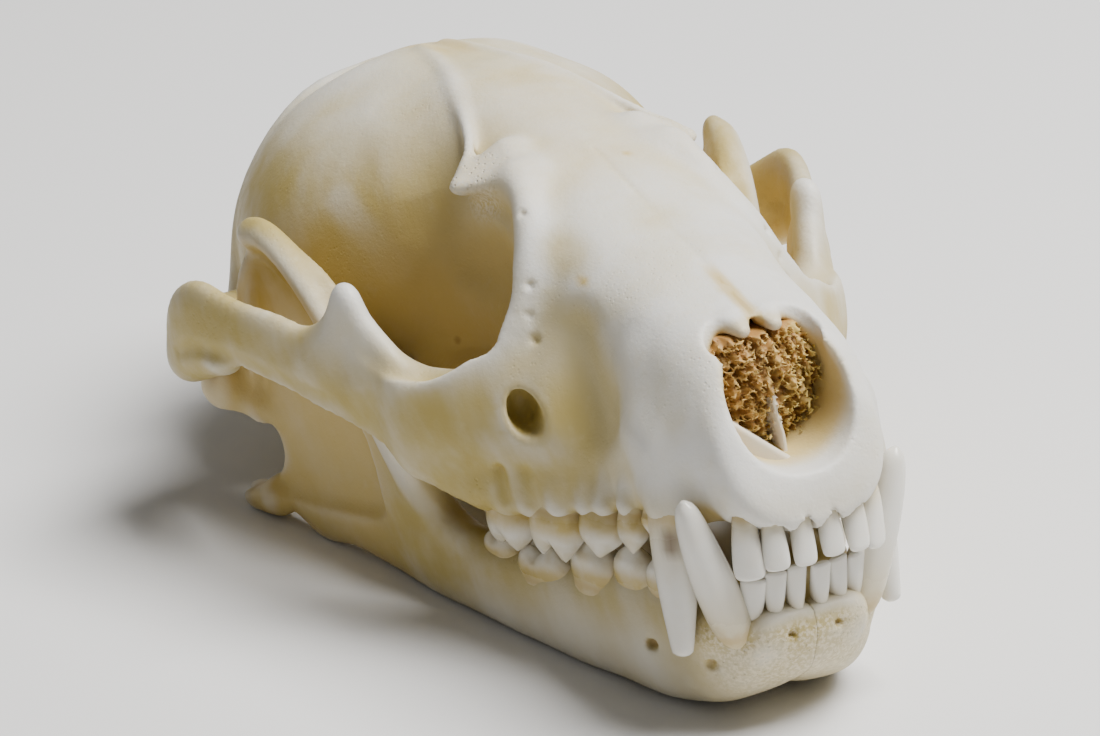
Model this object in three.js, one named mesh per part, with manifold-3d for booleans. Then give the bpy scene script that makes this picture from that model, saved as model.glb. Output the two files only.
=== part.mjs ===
// Raccoon skull with its lower jaw closed, life size, resting on the jaw.
//
// Every bone is worked out in the skull's own frame, in millimetres: x to the animal's left, y back from
// the front of the snout, z up from the sockets of the upper incisors. The whole skull is then pitched to
// rest on its lower jaw, snout towards -Y. A bone is a smooth field, below zero inside, made of a few
// blended forms. Its solid is a skin of rings, each point found where a ray from the bone's own axis
// leaves the field.
import * as THREE from "three";
import { mergeVertices } from "three/addons/utils/BufferGeometryUtils.js";
import Module from "manifold-3d";

const wasm = await Module();
wasm.setup();

// Driving sizes
const GAP = 0.3; // between bones that touch
const SKULL_BACK = 109; // back of the braincase, without the condyles
const ROSTRUM_END = 48.5; // where the snout is parted from the braincase, on the axis
const BONE_COLOUR = 0xe9e2cf;
const SCROLL_COLOUR = 0xb98a4c;

// Rest: the floor touches the jaw's lower border at these two stations [y, z]
const REST_FRONT = [30, -21.5];
const REST_BACK = [86, -11.6];
const PITCH = Math.atan2(REST_BACK[1] - REST_FRONT[1], REST_BACK[0] - REST_FRONT[0]);
const CENTRE_Y = 56.446; // skull station that stands over the origin once pitched

const point = (x, y, z) => new THREE.Vector3(x, y, z);

// Field forms: each returns a function of a point, about the distance to its surface

// Smooth curve through [station, value] pairs, level past its ends.
function profile(...stations) {
  const last = stations.length - 1;
  const slopes = stations.map((_, i) => {
    const [t0, v0] = stations[Math.max(i - 1, 0)];
    const [t1, v1] = stations[Math.min(i + 1, last)];
    return (v1 - v0) / (t1 - t0);
  });
  return (t) => {
    const at = THREE.MathUtils.clamp(t, stations[0][0], stations[last][0]);
    let i = 0;
    while (i < last - 1 && at > stations[i + 1][0]) i += 1;
    const [t0, v0] = stations[i];
    const [t1, v1] = stations[i + 1];
    const w = t1 - t0;
    const f = (at - t0) / w;
    const g = 1 - f;
    const ends = (1 + 2 * f) * g * g * v0 + f * f * (3 - 2 * f) * v1;
    return ends + f * g * g * w * slopes[i] - f * f * g * w * slopes[i + 1];
  };
}

function smoothMin(a, b, k) {
  const h = THREE.MathUtils.clamp(0.5 + (0.5 * (b - a)) / k, 0, 1);
  return b + (a - b) * h - k * h * (1 - h);
}
const joined = (k, ...forms) => (p) => forms.map((f) => f(p)).reduce((a, b) => smoothMin(a, b, k));
const kept = (k, ...forms) => (p) => -forms.map((f) => -f(p)).reduce((a, b) => smoothMin(a, b, k));
const carved = (k, form, hollow) => kept(k, form, (p) => -hollow(p));

function ball(centre, radii) {
  const r = new THREE.Vector3(...radii);
  const c = new THREE.Vector3(...centre);
  const q = new THREE.Vector3();
  return (p) => {
    const k0 = q.copy(p).sub(c).divide(r).length();
    const k1 = q.divide(r).length();
    return (k0 * (k0 - 1)) / Math.max(k1, 1e-9);
  };
}

// Round cone between two points. Its axes are stretched by flat, as for a plate.
function rod(from, to, r0, r1, flat = [1, 1, 1]) {
  const f = new THREE.Vector3(...flat);
  const a = new THREE.Vector3(...from).divide(f);
  const d = new THREE.Vector3(...to).divide(f).sub(a);
  const q = new THREE.Vector3();
  const least = Math.min(...flat);
  return (p) => {
    q.copy(p).divide(f).sub(a);
    const t = THREE.MathUtils.clamp(q.dot(d) / d.lengthSq(), 0, 1);
    return (q.addScaledVector(d, -t).length() - r0 - (r1 - r0) * t) * least;
  };
}

// Thin raised line along points.
function ridge(path, r0, r1) {
  const n = path.length - 1;
  const radius = (i) => r0 + ((r1 - r0) * i) / n;
  const rods = path.slice(1).map((b, i) => rod(path[i].toArray(), b.toArray(), radius(i), radius(i + 1)));
  return (p) => Math.min(...rods.map((f) => f(p)));
}

// Long body with a superellipse section at each station: half-width, bottom, top and power are curves of y.
function tube(width, bottom, top, power) {
  return (p) => {
    const n = power(p.y);
    const high = (top(p.y) - bottom(p.y)) / 2;
    const wide = width(p.y);
    const qx = Math.abs(p.x) / wide;
    const qz = Math.abs(p.z - bottom(p.y) - high) / high;
    const steep = Math.hypot(qx / wide, qz / high) / Math.max(Math.hypot(qx, qz), 1e-6);
    return ((qx ** n + qz ** n) ** (1 / n) - 1) / Math.max(steep, 1e-6);
  };
}

// Upright strap along points: half-heights and half-thicknesses are curves of the share of its length.
function strap(path, height, thickness, power) {
  const n = path.length - 1;
  const spans = path.slice(1).map((b, i) => ({ a: path[i], d: b.clone().sub(path[i]), i }));
  const q = new THREE.Vector3();
  return (p) => {
    let best = Infinity;
    for (const { a, d, i } of spans) {
      const flat = Math.hypot(d.x, d.y);
      q.copy(p).sub(a);
      const t = THREE.MathUtils.clamp((q.x * d.x + q.y * d.y) / flat ** 2, 0, 1);
      q.addScaledVector(d, -t);
      const across = Math.abs(q.x * d.y - q.y * d.x) / flat;
      const along = Math.abs(q.x * d.x + q.y * d.y) / flat;
      const share = (i + t) / n;
      const thick = thickness(share);
      const sides = (across / thick) ** power + (along / thick) ** power;
      const sum = sides + (Math.abs(q.z) / height(share)) ** power;
      best = Math.min(best, (sum ** (1 / power) - 1) * thick);
    }
    return best;
  };
}

function along(points, count) {
  const curve = new THREE.CatmullRomCurve3(points.map((p) => point(...p)), false, "catmullrom", 0.5);
  return curve.getPoints(count);
}

const mirror = (form) => (p) => form(point(Math.abs(p.x), p.y, p.z));

// Cranium: snout, forehead, braincase, palate and the roots of the cheek arches

const ridgeLine = profile(
  [-3, 14], [5, 17.6], [9, 19.6], [20, 23.4], [34, 28], [44, 31.6], [53, 33.6], [63, 35], [75, 36],
);
const snoutFloor = profile([-3, -1], [12, -1], [25, -1.5], [36, -1], [45, 2], [60, 5], [75, 6]);
const snoutHalf = profile(
  [-3, 7.4], [3, 9], [8, 10.8], [15, 11.6], [22, 12], [30, 13.4], [36, 14.2], [42, 13], [48, 12.2],
  [54, 11.6], [62, 11], [70, 13],
);
const snoutPower = profile([0, 2.4], [20, 2.6], [40, 2.7], [60, 2.6]);
const snoutFront = profile([-3, 0.4], [0, 0.2], [5, 1.8], [11, 3.8], [16, 5.6], [19, 8.6], [24, 14]);
const SNOUT_END = 72;
const snout = kept(
  1.5,
  kept(6, tube(snoutHalf, snoutFloor, ridgeLine, snoutPower), (p) => p.y - SNOUT_END),
  (p) => snoutFront(p.z) - p.y,
);

// Upper arcade: the ledge of bone that holds the upper teeth
const socketZ = profile([0, 0], [12, -0.3], [24, -1.6], [36, -3.2], [44, -3.8], [52, -3]);
const arcadeHalf = profile(
  [-1, 5], [2, 8], [4, 8.7], [6, 9.1], [8, 10.8], [10.5, 13.2], [14, 12.8], [18, 12.8], [24, 14],
  [32, 17.6], [38, 20], [44, 20.2], [49, 18],
);
const ARCADE_HEIGHT = 11;
const ARCADE_END = 49;
const arcadeFront = profile([-4, 0.6], [0, 0.4], [5, 1.8], [11, 4]);
const arcadeBody = tube(arcadeHalf, socketZ, (y) => socketZ(y) + ARCADE_HEIGHT, () => 2.6);
const arcade = kept(
  1.5,
  kept(3, arcadeBody, (p) => p.y - ARCADE_END),
  (p) => arcadeFront(p.z) - p.y,
);
const canineSwelling = rod([11, 11, 1], [9.4, 18.4, 14.5], 2.7, 1.8);

const brainVault = ball([0, 86, 16.5], [26.5, 27, 21.3]);
const brainFront = ball([0, 68, 21.5], [15.5, 22, 13.8]);
const BRAIN_FLOOR = 5.5;
const brain = kept(
  5,
  joined(8, brainVault, brainFront),
  (p) => BRAIN_FLOOR - p.z,
  (p) => p.y - SKULL_BACK,
);

const palateHalf = profile([40, 15], [50, 12], [60, 9.5], [68, 8.5], [80, 8]);
const palateFloor = profile([40, -1], [60, -1.5], [70, -1]);
const palateRoof = profile([40, 8], [60, 9], [80, 9]);
const PALATE_ENDS = [38, 72];
const palate = kept(
  3,
  tube(palateHalf, palateFloor, palateRoof, () => 2.6),
  (p) => p.y - PALATE_ENDS[1],
  (p) => PALATE_ENDS[0] - p.y,
);

const browSpur = rod([9.5, 49, 31], [14.4, 51.6, 29.6], 2.4, 0.9);
const templeRidge = ridge(
  along([[13.4, 52, 30], [10.4, 56, 32.6], [7.6, 64, 35.2], [4.2, 75, 37.4], [1.5, 88, 38.4]], 20),
  0.8,
  0.45,
);

const cheekRoot = rod([13.5, 31, 6], [25, 45.5, 6.6], 3.8, 3, [1, 1, 2]);
const orbitMargin = rod([13.2, 35, 18.5], [24.5, 45.8, 10.2], 2.6, 2.4);
const ORBIT = { centre: [22, 48.5, 20.5], radii: [11.2, 13, 11] };

// Cheek arch: an upright strap from the snout's side round to the braincase
const archPath = along(
  [
    [21, 41, 5.4], [26.3, 48.5, 7.6], [30.4, 57, 10.6], [34.4, 66, 13.4], [37.2, 74.5, 15.2],
    [37.6, 80, 13.6], [35.4, 84.8, 11.6], [29.5, 87.5, 10.6], [20, 88, 10.5],
  ],
  32,
);
const archHigh = profile(
  [0, 6.4], [0.125, 5], [0.25, 4.2], [0.375, 3.8], [0.5, 4], [0.62, 3.8], [0.75, 3.2], [1, 3],
);
const archThick = profile(
  [0, 2.6], [0.125, 2.2], [0.25, 1.9], [0.375, 1.7], [0.5, 1.9], [0.62, 2.2], [0.75, 2.9], [1, 4],
);
const arch = strap(archPath, archHigh, archThick, 2.4);
const ARCH_FRONT_CUT = 2; // points of its path where the arch is parted from the snout and the braincase
const ARCH_BACK_CUT = 28;
const ARCH_LAST = archPath.length - 1;

const napeCrest = ridge(
  along([[0, 106.5, 32.5], [10, 105, 30.5], [19, 101, 23], [25, 97, 12], [27, 96, 5]], 16),
  1.1,
  1.1,
);

const muzzle = joined(3.2, joined(5, snout, arcade), canineSwelling);
const face = joined(4.5, joined(2.5, muzzle, orbitMargin), cheekRoot);
const vault = joined(3, joined(6, face, brain), palate);
const cranium = mirror(joined(1.6, joined(2.5, vault, browSpur, napeCrest), templeRidge));

// Lower jaw: one side, from the chin to the hinge

const jawTop = profile(
  [3, -11.6], [6, -11], [12, -10.2], [20, -9.8], [38, -9.8], [48, -9], [53, -7], [58, 0], [61.5, 9.5],
  [65.5, 16.8], [70.5, 22], [75.5, 24], [78.5, 22.6], [80.4, 17], [81.6, 9], [82.8, 5.5], [84.6, 3.4],
  [86, -1],
);
const jawLow = profile(
  [3, -14.5], [6, -18], [10, -21.4], [15, -23.2], [22, -22.8], [30, -21.8], [45, -19], [60, -16.2],
  [75, -13.4], [82, -12], [86, -11.6],
);
const jawMid = profile(
  [3, 2.2], [7, 3.3], [12, 4.6], [16, 6.2], [20, 8.5], [29, 11.8], [42, 15.8], [54, 19.9], [62, 23],
  [72, 27], [86, 30.8],
);
const jawThick = profile(
  [3, 4], [7, 4.8], [12, 5.6], [16, 5.3], [20, 4.4], [30, 3.8], [45, 3.5], [55, 2.9], [62, 1.9],
  [75, 1.7], [86, 1.9],
);
const JAW_LEAN = 0.05; // sideways for each millimetre up the jaw's branch
const JAW_POWER = 2.6;
const leanAt = (y, z) => {
  const lean = JAW_LEAN * THREE.MathUtils.smoothstep(y, 50, 66);
  return jawMid(y) + lean * (z - (jawTop(y) + jawLow(y)) / 2);
};
const jawSide = (p) => {
  const high = (jawTop(p.y) - jawLow(p.y)) / 2;
  const qx = Math.abs(p.x - leanAt(p.y, p.z)) / jawThick(p.y);
  const qz = Math.abs(p.z - jawLow(p.y) - high) / high;
  return ((qx ** JAW_POWER + qz ** JAW_POWER) ** (1 / JAW_POWER) - 1) * jawThick(p.y);
};
const muscleHollow = ball([39.5, 71, -1], [12.6, 12.5, 12]);
const SYMPHYSIS = GAP / 2;
const jaw = kept(0.4, carved(1.5, jawSide, muscleHollow), (p) => SYMPHYSIS - p.x);
const HINGE = { from: [24.6, 83.8, 4.2], to: [33.6, 82.9, 4.8], radius: 2.3 };
const ANGLE = { from: [29.4, 81, -9.6], to: [28.6, 88.4, -9.9], r0: 1.9, r1: 1.4 };
const BACK_NOTCH = { centre: [31, 89.5, -4.6], radii: [16, 13, 5] }; // between the hinge and the angle

// Skins and solids

const MARCH = 0.3;
const HALVINGS = 14;

// The point where a ray from inside leaves the field.
function leave(field, from, way) {
  const p = new THREE.Vector3();
  const at = (t) => p.copy(from).addScaledVector(way, t);
  let near = 0;
  let far = 0;
  let depth = field(at(0));
  while (depth < 0) {
    near = far;
    far += Math.max(MARCH, -0.5 * depth);
    depth = field(at(far));
  }
  for (let i = 0; i < HALVINGS; i += 1) {
    const mid = (near + far) / 2;
    if (field(at(mid)) < 0) near = mid;
    else far = mid;
  }
  return at(near).clone();
}

// Rings of points joined to a closed surface, with a point at each end.
function skin(rings, first, last) {
  const count = rings[0].length;
  const positions = [first, ...rings.flat(), last].flatMap((p) => p.toArray());
  const end = rings.length * count + 1;
  const index = [];
  for (let j = 0; j < count; j += 1) {
    const k = (j + 1) % count;
    index.push(0, 1 + k, 1 + j);
    for (let i = 0; i < rings.length - 1; i += 1) {
      const a = 1 + i * count;
      const b = a + count;
      index.push(a + j, a + k, b + k, a + j, b + k, b + j);
    }
    index.push(end, end - count + j, end - count + k);
  }
  const geometry = new THREE.BufferGeometry();
  geometry.setAttribute("position", new THREE.Float32BufferAttribute(positions, 3));
  geometry.setIndex(index);
  return geometry;
}

// A geometry as a solid for joining and cutting, turned to face outwards.
function solid(geometry) {
  const bare = new THREE.BufferGeometry();
  bare.setAttribute("position", geometry.getAttribute("position").clone());
  bare.setIndex(geometry.index);
  const merged = mergeVertices(bare, 1e-4);
  const vertProperties = merged.attributes.position.array;
  const triVerts = new Uint32Array(merged.index.array);
  const made = new wasm.Manifold(new wasm.Mesh({ numProp: 3, vertProperties, triVerts }));
  if (made.volume() > 0) return made;
  for (let i = 0; i < triVerts.length; i += 3) {
    [triVerts[i], triVerts[i + 1]] = [triVerts[i + 1], triVerts[i]];
  }
  return new wasm.Manifold(new wasm.Mesh({ numProp: 3, vertProperties, triVerts }));
}

const largest = (made) => made.decompose().sort((a, b) => b.volume() - a.volume())[0];

function geometryOf(made) {
  const { vertProperties, triVerts } = largest(made).getMesh();
  const geometry = new THREE.BufferGeometry();
  geometry.setAttribute("position", new THREE.BufferAttribute(vertProperties, 3));
  geometry.setIndex(new THREE.BufferAttribute(triVerts, 1));
  geometry.computeVertexNormals();
  return geometry;
}

const evenly = (from, to, count) =>
  Array.from({ length: count }, (_, i) => from + ((to - from) * i) / (count - 1));

// Tapered capsule between two points, for spurs, hinges and canals.
function capsule(from, to, r0, r1, sides = 8, caps = 2) {
  const a = point(...from);
  const b = point(...to);
  const way = b.clone().sub(a).normalize();
  const turn = new THREE.Quaternion().setFromUnitVectors(point(0, 0, 1), way);
  const ring = (centre, r) =>
    Array.from({ length: sides }, (_, j) => {
      const t = (2 * Math.PI * j) / sides;
      return point(r * Math.cos(t), r * Math.sin(t), 0).applyQuaternion(turn).add(centre);
    });
  const shifted = (p, by) => p.clone().addScaledVector(way, by);
  const dome = evenly(0, Math.PI / 2, caps + 1).slice(1);
  const start = dome.map((t) => ring(shifted(a, -r0 * Math.cos(t)), r0 * Math.sin(t)));
  const finish = dome.toReversed().map((t) => ring(shifted(b, r1 * Math.cos(t)), r1 * Math.sin(t)));
  return solid(skin([...start, ...finish], shifted(a, -r0), shifted(b, r1)));
}

// The cranium's rings stand across its axis and lean with the nose, the forehead and the nape.
const axisZ = profile(
  [0.6, 1.6], [4, 5], [10, 9], [20, 12], [35, 14], [48.5, 16.5], [70, 19], [90, 18], [112, 15],
);
const ringLean = profile([0, 0.42], [10, 0.36], [28, 0.06], [48.5, -0.2], [70, 0], [100, 0], [112, -0.1]);

function craniumRing(y, sides) {
  const centre = point(0, y, axisZ(y));
  const up = point(0, Math.sin(ringLean(y)), Math.cos(ringLean(y)));
  const side = point(1, 0, 0);
  return Array.from({ length: sides }, (_, j) => {
    const t = (2 * Math.PI * (j + 0.5)) / sides;
    const way = side.clone().multiplyScalar(Math.sin(t)).addScaledVector(up, Math.cos(t));
    return leave(cranium, centre, way);
  });
}

const middle = (ring) => ring.reduce((sum, p) => sum.add(p), point(0, 0, 0)).divideScalar(ring.length);

// Cheek arch between two points of its path, with flat ends
const ARCH_SIDES = 12;
const archField = joined(2.5, arch, cheekRoot);
const archWay = (i) => {
  const ahead = archPath[Math.min(i + 1, ARCH_LAST)].clone();
  return ahead.sub(archPath[Math.max(i - 1, 0)]).normalize();
};
function archPiece(from, to) {
  const rings = evenly(from, to, to - from + 1).map((i) => {
    const way = archWay(i);
    const side = new THREE.Vector3().crossVectors(way, point(0, 0, 1)).normalize();
    const up = new THREE.Vector3().crossVectors(side, way);
    const back = i === to ? -GAP / 2 : 0;
    const start = archPath[i].clone().addScaledVector(way, i === from ? GAP / 2 : back);
    return Array.from({ length: ARCH_SIDES }, (_, j) => {
      const t = (2 * Math.PI * j) / ARCH_SIDES;
      const out = side.clone().multiplyScalar(Math.sin(t)).addScaledVector(up, Math.cos(t));
      return leave(archField, start, out);
    });
  });
  return solid(skin(rings, middle(rings[0]), middle(rings[rings.length - 1])));
}

// Block on the arch's side of its front cut, to trim the snout's bone there
function archBlock() {
  const deep = 20;
  const block = new THREE.BoxGeometry(30, 50, deep);
  block.translate(0, 0, deep / 2 - GAP / 2);
  block.applyQuaternion(new THREE.Quaternion().setFromUnitVectors(point(0, 0, 1), archWay(ARCH_FRONT_CUT)));
  block.translate(...archPath[ARCH_FRONT_CUT]);
  return solid(block);
}

function egg({ centre, radii }, across = 12, down = 8) {
  const form = new THREE.SphereGeometry(1, across, down);
  form.scale(...radii);
  form.translate(...centre);
  return solid(form);
}

// Teeth

// One tooth: rings up its axis from the sunk root to the tip. length runs along the row, width across it.
function tooth({ at, tip, row, size: [length, width], shape, sides, bend = 0, sunk = 3 }) {
  const neck = point(...at);
  const end = point(...tip);
  const axis = end.clone().sub(neck);
  const height = axis.length();
  axis.normalize();
  const e1 = point(...row).addScaledVector(axis, -point(...row).dot(axis)).normalize();
  const e2 = new THREE.Vector3().crossVectors(axis, e1);
  const rings = shape.map(([share, long, wide, cusp = 0]) => {
    const bow = bend * Math.sin(Math.PI * THREE.MathUtils.clamp(share, 0, 1));
    const rise = share < 0 ? share * sunk : share * height;
    return Array.from({ length: sides }, (_, j) => {
      const t = (2 * Math.PI * (j + 0.5)) / sides;
      const c = Math.cos(t);
      const s = Math.sin(t);
      const lift = rise + cusp * Math.abs(Math.sin(2 * t));
      return neck
        .clone()
        .addScaledVector(axis, lift)
        .addScaledVector(e1, (0.5 * length * long * c) + bow)
        .addScaledVector(e2, 0.5 * width * wide * s);
    });
  });
  return solid(skin(rings, middle(rings[0]), middle(rings[rings.length - 1])));
}

// Crown outlines: [share of the height, length, width, cusp height] from the root up
const INCISOR = [[-1, 0.62, 0.8], [0, 0.8, 1], [0.45, 1, 0.85], [0.95, 0.94, 0.36], [1, 0.8, 0.16]];
const CANINE = [
  [-1, 0.85, 0.85], [0, 1, 1], [0.35, 0.92, 0.92], [0.7, 0.68, 0.68], [0.93, 0.4, 0.4], [1, 0.18, 0.18],
];
const PREMOLAR = [[-1, 0.7, 0.7], [0, 0.9, 0.9], [0.3, 1, 1], [0.65, 0.62, 0.62], [1, 0.16, 0.16]];
const MOLAR = [
  [-1, 0.75, 0.75], [0, 0.88, 0.88], [0.45, 1, 1], [0.78, 0.82, 0.82, 0.9], [0.8, 0.4, 0.4, 0],
];

// Upper row, the animal's left side: neck on the arcade, tip of the crown, and the row's direction
const UPPER = [
  { at: [1.6, 1.9, 0.3], tip: [1.7, 0.1, -5.2], row: [1, 0.1, 0], size: [2.9, 2.6], shape: INCISOR },
  { at: [4.7, 2.3, 0.3], tip: [4.9, 0.5, -5.2], row: [1, 0.3, 0], size: [3.1, 2.8], shape: INCISOR },
  { at: [7.6, 3.9, 0.4], tip: [8.1, 2.2, -6.2], row: [1, 0.7, 0], size: [3.6, 3.4], shape: INCISOR },
  { at: [11.6, 11, 0.4], tip: [12.9, 9.6, -15], row: [0.2, 1, 0], size: [5.4, 4.2], shape: CANINE },
  { at: [12, 15.3, -0.2], tip: [12.4, 15, -3], row: [0.1, 1, 0], size: [2.4, 2], shape: PREMOLAR },
  { at: [12.6, 18.8, -0.6], tip: [13.2, 18.6, -5], row: [0.15, 1, 0], size: [4.4, 2.8], shape: PREMOLAR },
  { at: [13.6, 24, -1.2], tip: [14.6, 23.8, -6.4], row: [0.3, 1, 0], size: [5.4, 3.8], shape: PREMOLAR },
  { at: [15, 30.8, -1.9], tip: [15.2, 30.8, -7.2], row: [0.42, 1, 0], size: [7.6, 7], shape: MOLAR },
  { at: [16.2, 38.7, -2.8], tip: [16.4, 38.7, -7.8], row: [0.12, 1, 0], size: [7.8, 8.4], shape: MOLAR },
  { at: [15, 45.2, -2.6], tip: [15.2, 45.2, -6.8], row: [-0.25, 1, 0], size: [5, 7.2], shape: MOLAR },
];

// Lower row: necks on the jaw's upper border
const LOWER = [
  { at: [1.45, 5, -11.6], tip: [1.45, 3.2, -6.2], row: [1, 0.05, 0], size: [2.3, 2.4], shape: INCISOR },
  { at: [3.7, 5.4, -11.6], tip: [3.8, 3.6, -6.2], row: [1, 0.2, 0], size: [2.5, 2.6], shape: INCISOR },
  { at: [5.7, 6.4, -11.8], tip: [6.3, 4.4, -6.6], row: [1, 0.5, 0], size: [2.8, 2.8], shape: INCISOR },
  { at: [7.8, 8, -12], tip: [12.8, 5.2, 3.2], row: [0.1, 1, 0.3], size: [5, 4.2], bend: -1, shape: CANINE },
  { at: [9, 14.6, -10.4], tip: [9.4, 14.6, -8.2], row: [0.3, 1, 0], size: [2.2, 1.8], shape: PREMOLAR },
  { at: [9.8, 17.8, -10.2], tip: [10.2, 17.4, -6.2], row: [0.3, 1, 0], size: [3.8, 2.6], shape: PREMOLAR },
  { at: [11, 22.2, -10.2], tip: [11.2, 21.8, -5.9], row: [0.3, 1, 0], size: [4.8, 3.2], shape: PREMOLAR },
  { at: [12.6, 28, -10.2], tip: [12.6, 26.8, -6.8], row: [0.32, 1, 0], size: [6, 4.2], shape: PREMOLAR },
  { at: [14.9, 36.2, -10.4], tip: [14.9, 36.2, -8.9], row: [0.3, 1, 0], size: [9.4, 5.4], shape: MOLAR },
  { at: [17.6, 45.6, -10], tip: [17.6, 45.6, -8.4], row: [0.3, 1, 0], size: [8, 5], shape: MOLAR },
];
const INCISOR_SIDES = 6;
const CHEEK_SIDES = 8;
const teethOf = (row) =>
  row.map((t) => tooth({ ...t, sides: t.shape === INCISOR ? INCISOR_SIDES : CHEEK_SIDES }));
const flipped = (made) => made.mirror([1, 0, 0]);

// Snout with the upper teeth
const SNOUT_SIDES = 34;
const SNOUT_RINGS = 23;
const SNOUT_FRONT = 0.9;
const noseHigh = profile([-3, 7.2], [4, 7.2], [14, 6.8], [26, 5]);
const noseWide = profile([-3, 7], [4, 7], [10, 6.9], [26, 5]);
const noseZ = profile([-3, 12], [4, 12.2], [26, 14.2]);
const NOSE_DEPTH = 27;
const NOSE_SIDES = 24;
const SCROLL_LOBES = 6;

// Ring of the nose's hollow, or of the scroll bones in it: drawn in by inset and lobed by waves
function noseRing(y, inset, wave) {
  return Array.from({ length: NOSE_SIDES }, (_, j) => {
    const t = (2 * Math.PI * j) / NOSE_SIDES;
    const draw = inset + wave * (1 - Math.cos(SCROLL_LOBES * t));
    const x = (noseWide(y) - draw) * Math.sin(t);
    return point(x, y, noseZ(y) + (noseHigh(y) - draw) * Math.cos(t));
  });
}
function noseForm(from, to, inset, wave, count) {
  const rings = evenly(from, to, count).map((y) => noseRing(y, inset(y), wave));
  return solid(skin(rings, middle(rings[0]), middle(rings[count - 1])));
}

function snoutSolid() {
  const stations = evenly(SNOUT_FRONT, ROSTRUM_END - GAP / 2, SNOUT_RINGS);
  const rings = stations.map((y) => craniumRing(y, SNOUT_SIDES));
  const bone = solid(skin(rings, middle(rings[0]), middle(rings[rings.length - 1])));
  const block = archBlock();
  const root = archPiece(0, ARCH_FRONT_CUT);
  const canal = capsule([20.8, 25, 8.2], [17.2, 41, 11.6], 1.9, 2.1);
  const socket = egg(ORBIT, 22, 14);
  const trimmed = bone.subtract(block).subtract(flipped(block)).add(root).add(flipped(root));
  const hollows = [noseForm(-3, NOSE_DEPTH, () => 0, 0, 9), canal, flipped(canal), socket, flipped(socket)];
  const open = hollows.reduce((made, h) => made.subtract(h), trimmed);
  const row = teethOf(UPPER);
  return [...row, ...row.map(flipped)].reduce((made, t) => made.add(t), open);
}

// Braincase with the ear region, the roots of the arches and the neck's condyles, hollowed for the hinges
const BRAIN_SIDES = 30;
const BRAIN_RINGS = 20;
const BRAIN_LAST = 108.6;
const BULLA = { centre: [13.5, 89, 3], radii: [7.6, 9.5, 7] };
const NECK_CONDYLE = { centre: [7.8, 105, 9], radii: [6, 7.4, 5.6] };
const hinge = (extra) => capsule(HINGE.from, HINGE.to, HINGE.radius + extra, HINGE.radius + extra);
const HINGE_PLAY = 0.55;

function brainSolid() {
  const stations = evenly(ROSTRUM_END + GAP / 2, BRAIN_LAST, BRAIN_RINGS);
  const rings = stations.map((y) => craniumRing(y, BRAIN_SIDES));
  const bone = solid(skin(rings, middle(rings[0]), middle(rings[rings.length - 1])));
  const mastoid = capsule([20, 94, 9], [24.6, 96.4, 4.8], 4.8, 3);
  const neckSpur = capsule([16.5, 98.6, 7], [17.6, 100.4, 0.4], 3.4, 1.7);
  const behindHinge = capsule([22.5, 88.6, 8], [31, 88, 4.6], 2.6, 2);
  const root = archPiece(ARCH_BACK_CUT, ARCH_LAST);
  const parts = [egg(BULLA), egg(NECK_CONDYLE), mastoid, neckSpur, behindHinge, root];
  const socket = egg(ORBIT, 22, 14);
  const seat = hinge(HINGE_PLAY);
  const spineHole = capsule([0, 103, 14.5], [0, 122, 12.5], 6, 6.6, 14);
  const whole = parts.reduce((made, p) => made.add(p).add(flipped(p)), bone);
  const open = whole.subtract(spineHole);
  return [socket, seat].reduce((made, h) => made.subtract(h).subtract(flipped(h)), open);
}

// Cheek arch with its spur behind the eye
const SPUR_FEET = [[25.8, 47.2, 10], [28.4, 52, 10.6], [30.8, 57, 11.4]];
const SPUR_TIP = [28.9, 52.8, 19.3];
function archSolid() {
  const strip = archPiece(ARCH_FRONT_CUT, ARCH_BACK_CUT).subtract(egg(ORBIT, 22, 14));
  const spurs = SPUR_FEET.map((foot) => capsule(foot, SPUR_TIP, 2, 1.1));
  return spurs.reduce((made, spur) => made.add(spur), strip).subtract(hinge(HINGE_PLAY));
}

// One side of the lower jaw: a ladder of points up each face between the lower and the upper border
const JAW_FRONT = 4;
const JAW_BACK = 86;
const JAW_RINGS = 32;
const JAW_LEVELS = 6;
function jawSolid() {
  const shares = evenly(0, 1, JAW_LEVELS + 2).slice(1, -1).map((f) => 0.5 - 0.5 * Math.cos(Math.PI * f));
  const rings = evenly(JAW_FRONT, JAW_BACK, JAW_RINGS).map((y) => {
    const low = jawLow(y);
    const high = jawTop(y) - low;
    const face = (way) => shares.map((f) => {
      const z = low + f * high;
      return leave(jaw, point(leanAt(y, z), y, z), point(way, 0, 0));
    });
    const foot = point(leanAt(y, low), y, low);
    const crown = point(leanAt(y, low + high), y, low + high);
    return [foot, ...face(1), crown, ...face(-1).toReversed()];
  });
  const bone = solid(skin(rings, middle(rings[0]), middle(rings[rings.length - 1])));
  const parts = [hinge(0), capsule(ANGLE.from, ANGLE.to, ANGLE.r0, ANGLE.r1), ...teethOf(LOWER)];
  const whole = parts.reduce((made, p) => made.add(p), bone);
  return whole.subtract(floorSolid()).subtract(egg(BACK_NOTCH, 20, 12));
}

// The floor under the jaw, a slab in the skull's frame
function floorSolid() {
  const deep = 40;
  const slab = new THREE.BoxGeometry(200, 300, deep);
  slab.translate(0, 0, -deep / 2);
  slab.rotateX(PITCH);
  slab.translate(0, REST_FRONT[0], REST_FRONT[1]);
  return solid(slab);
}

// Scroll bones of the nose: one lobed mass each side of the midline, domed towards the front
const SCROLL_FRONT = 8.4;
const SCROLL_WAVE = 0.35;
const scrollInset = profile([8.4, 3.4], [10, 1.5], [13, 0.6], [18, GAP], [27, GAP]);
function scrollSolid() {
  const mass = noseForm(SCROLL_FRONT, NOSE_DEPTH - GAP, scrollInset, SCROLL_WAVE, 7);
  const half = new THREE.BoxGeometry(20, 60, 40);
  half.translate(10 + GAP / 2, 20, 12);
  return mass.intersect(solid(half));
}

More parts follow.
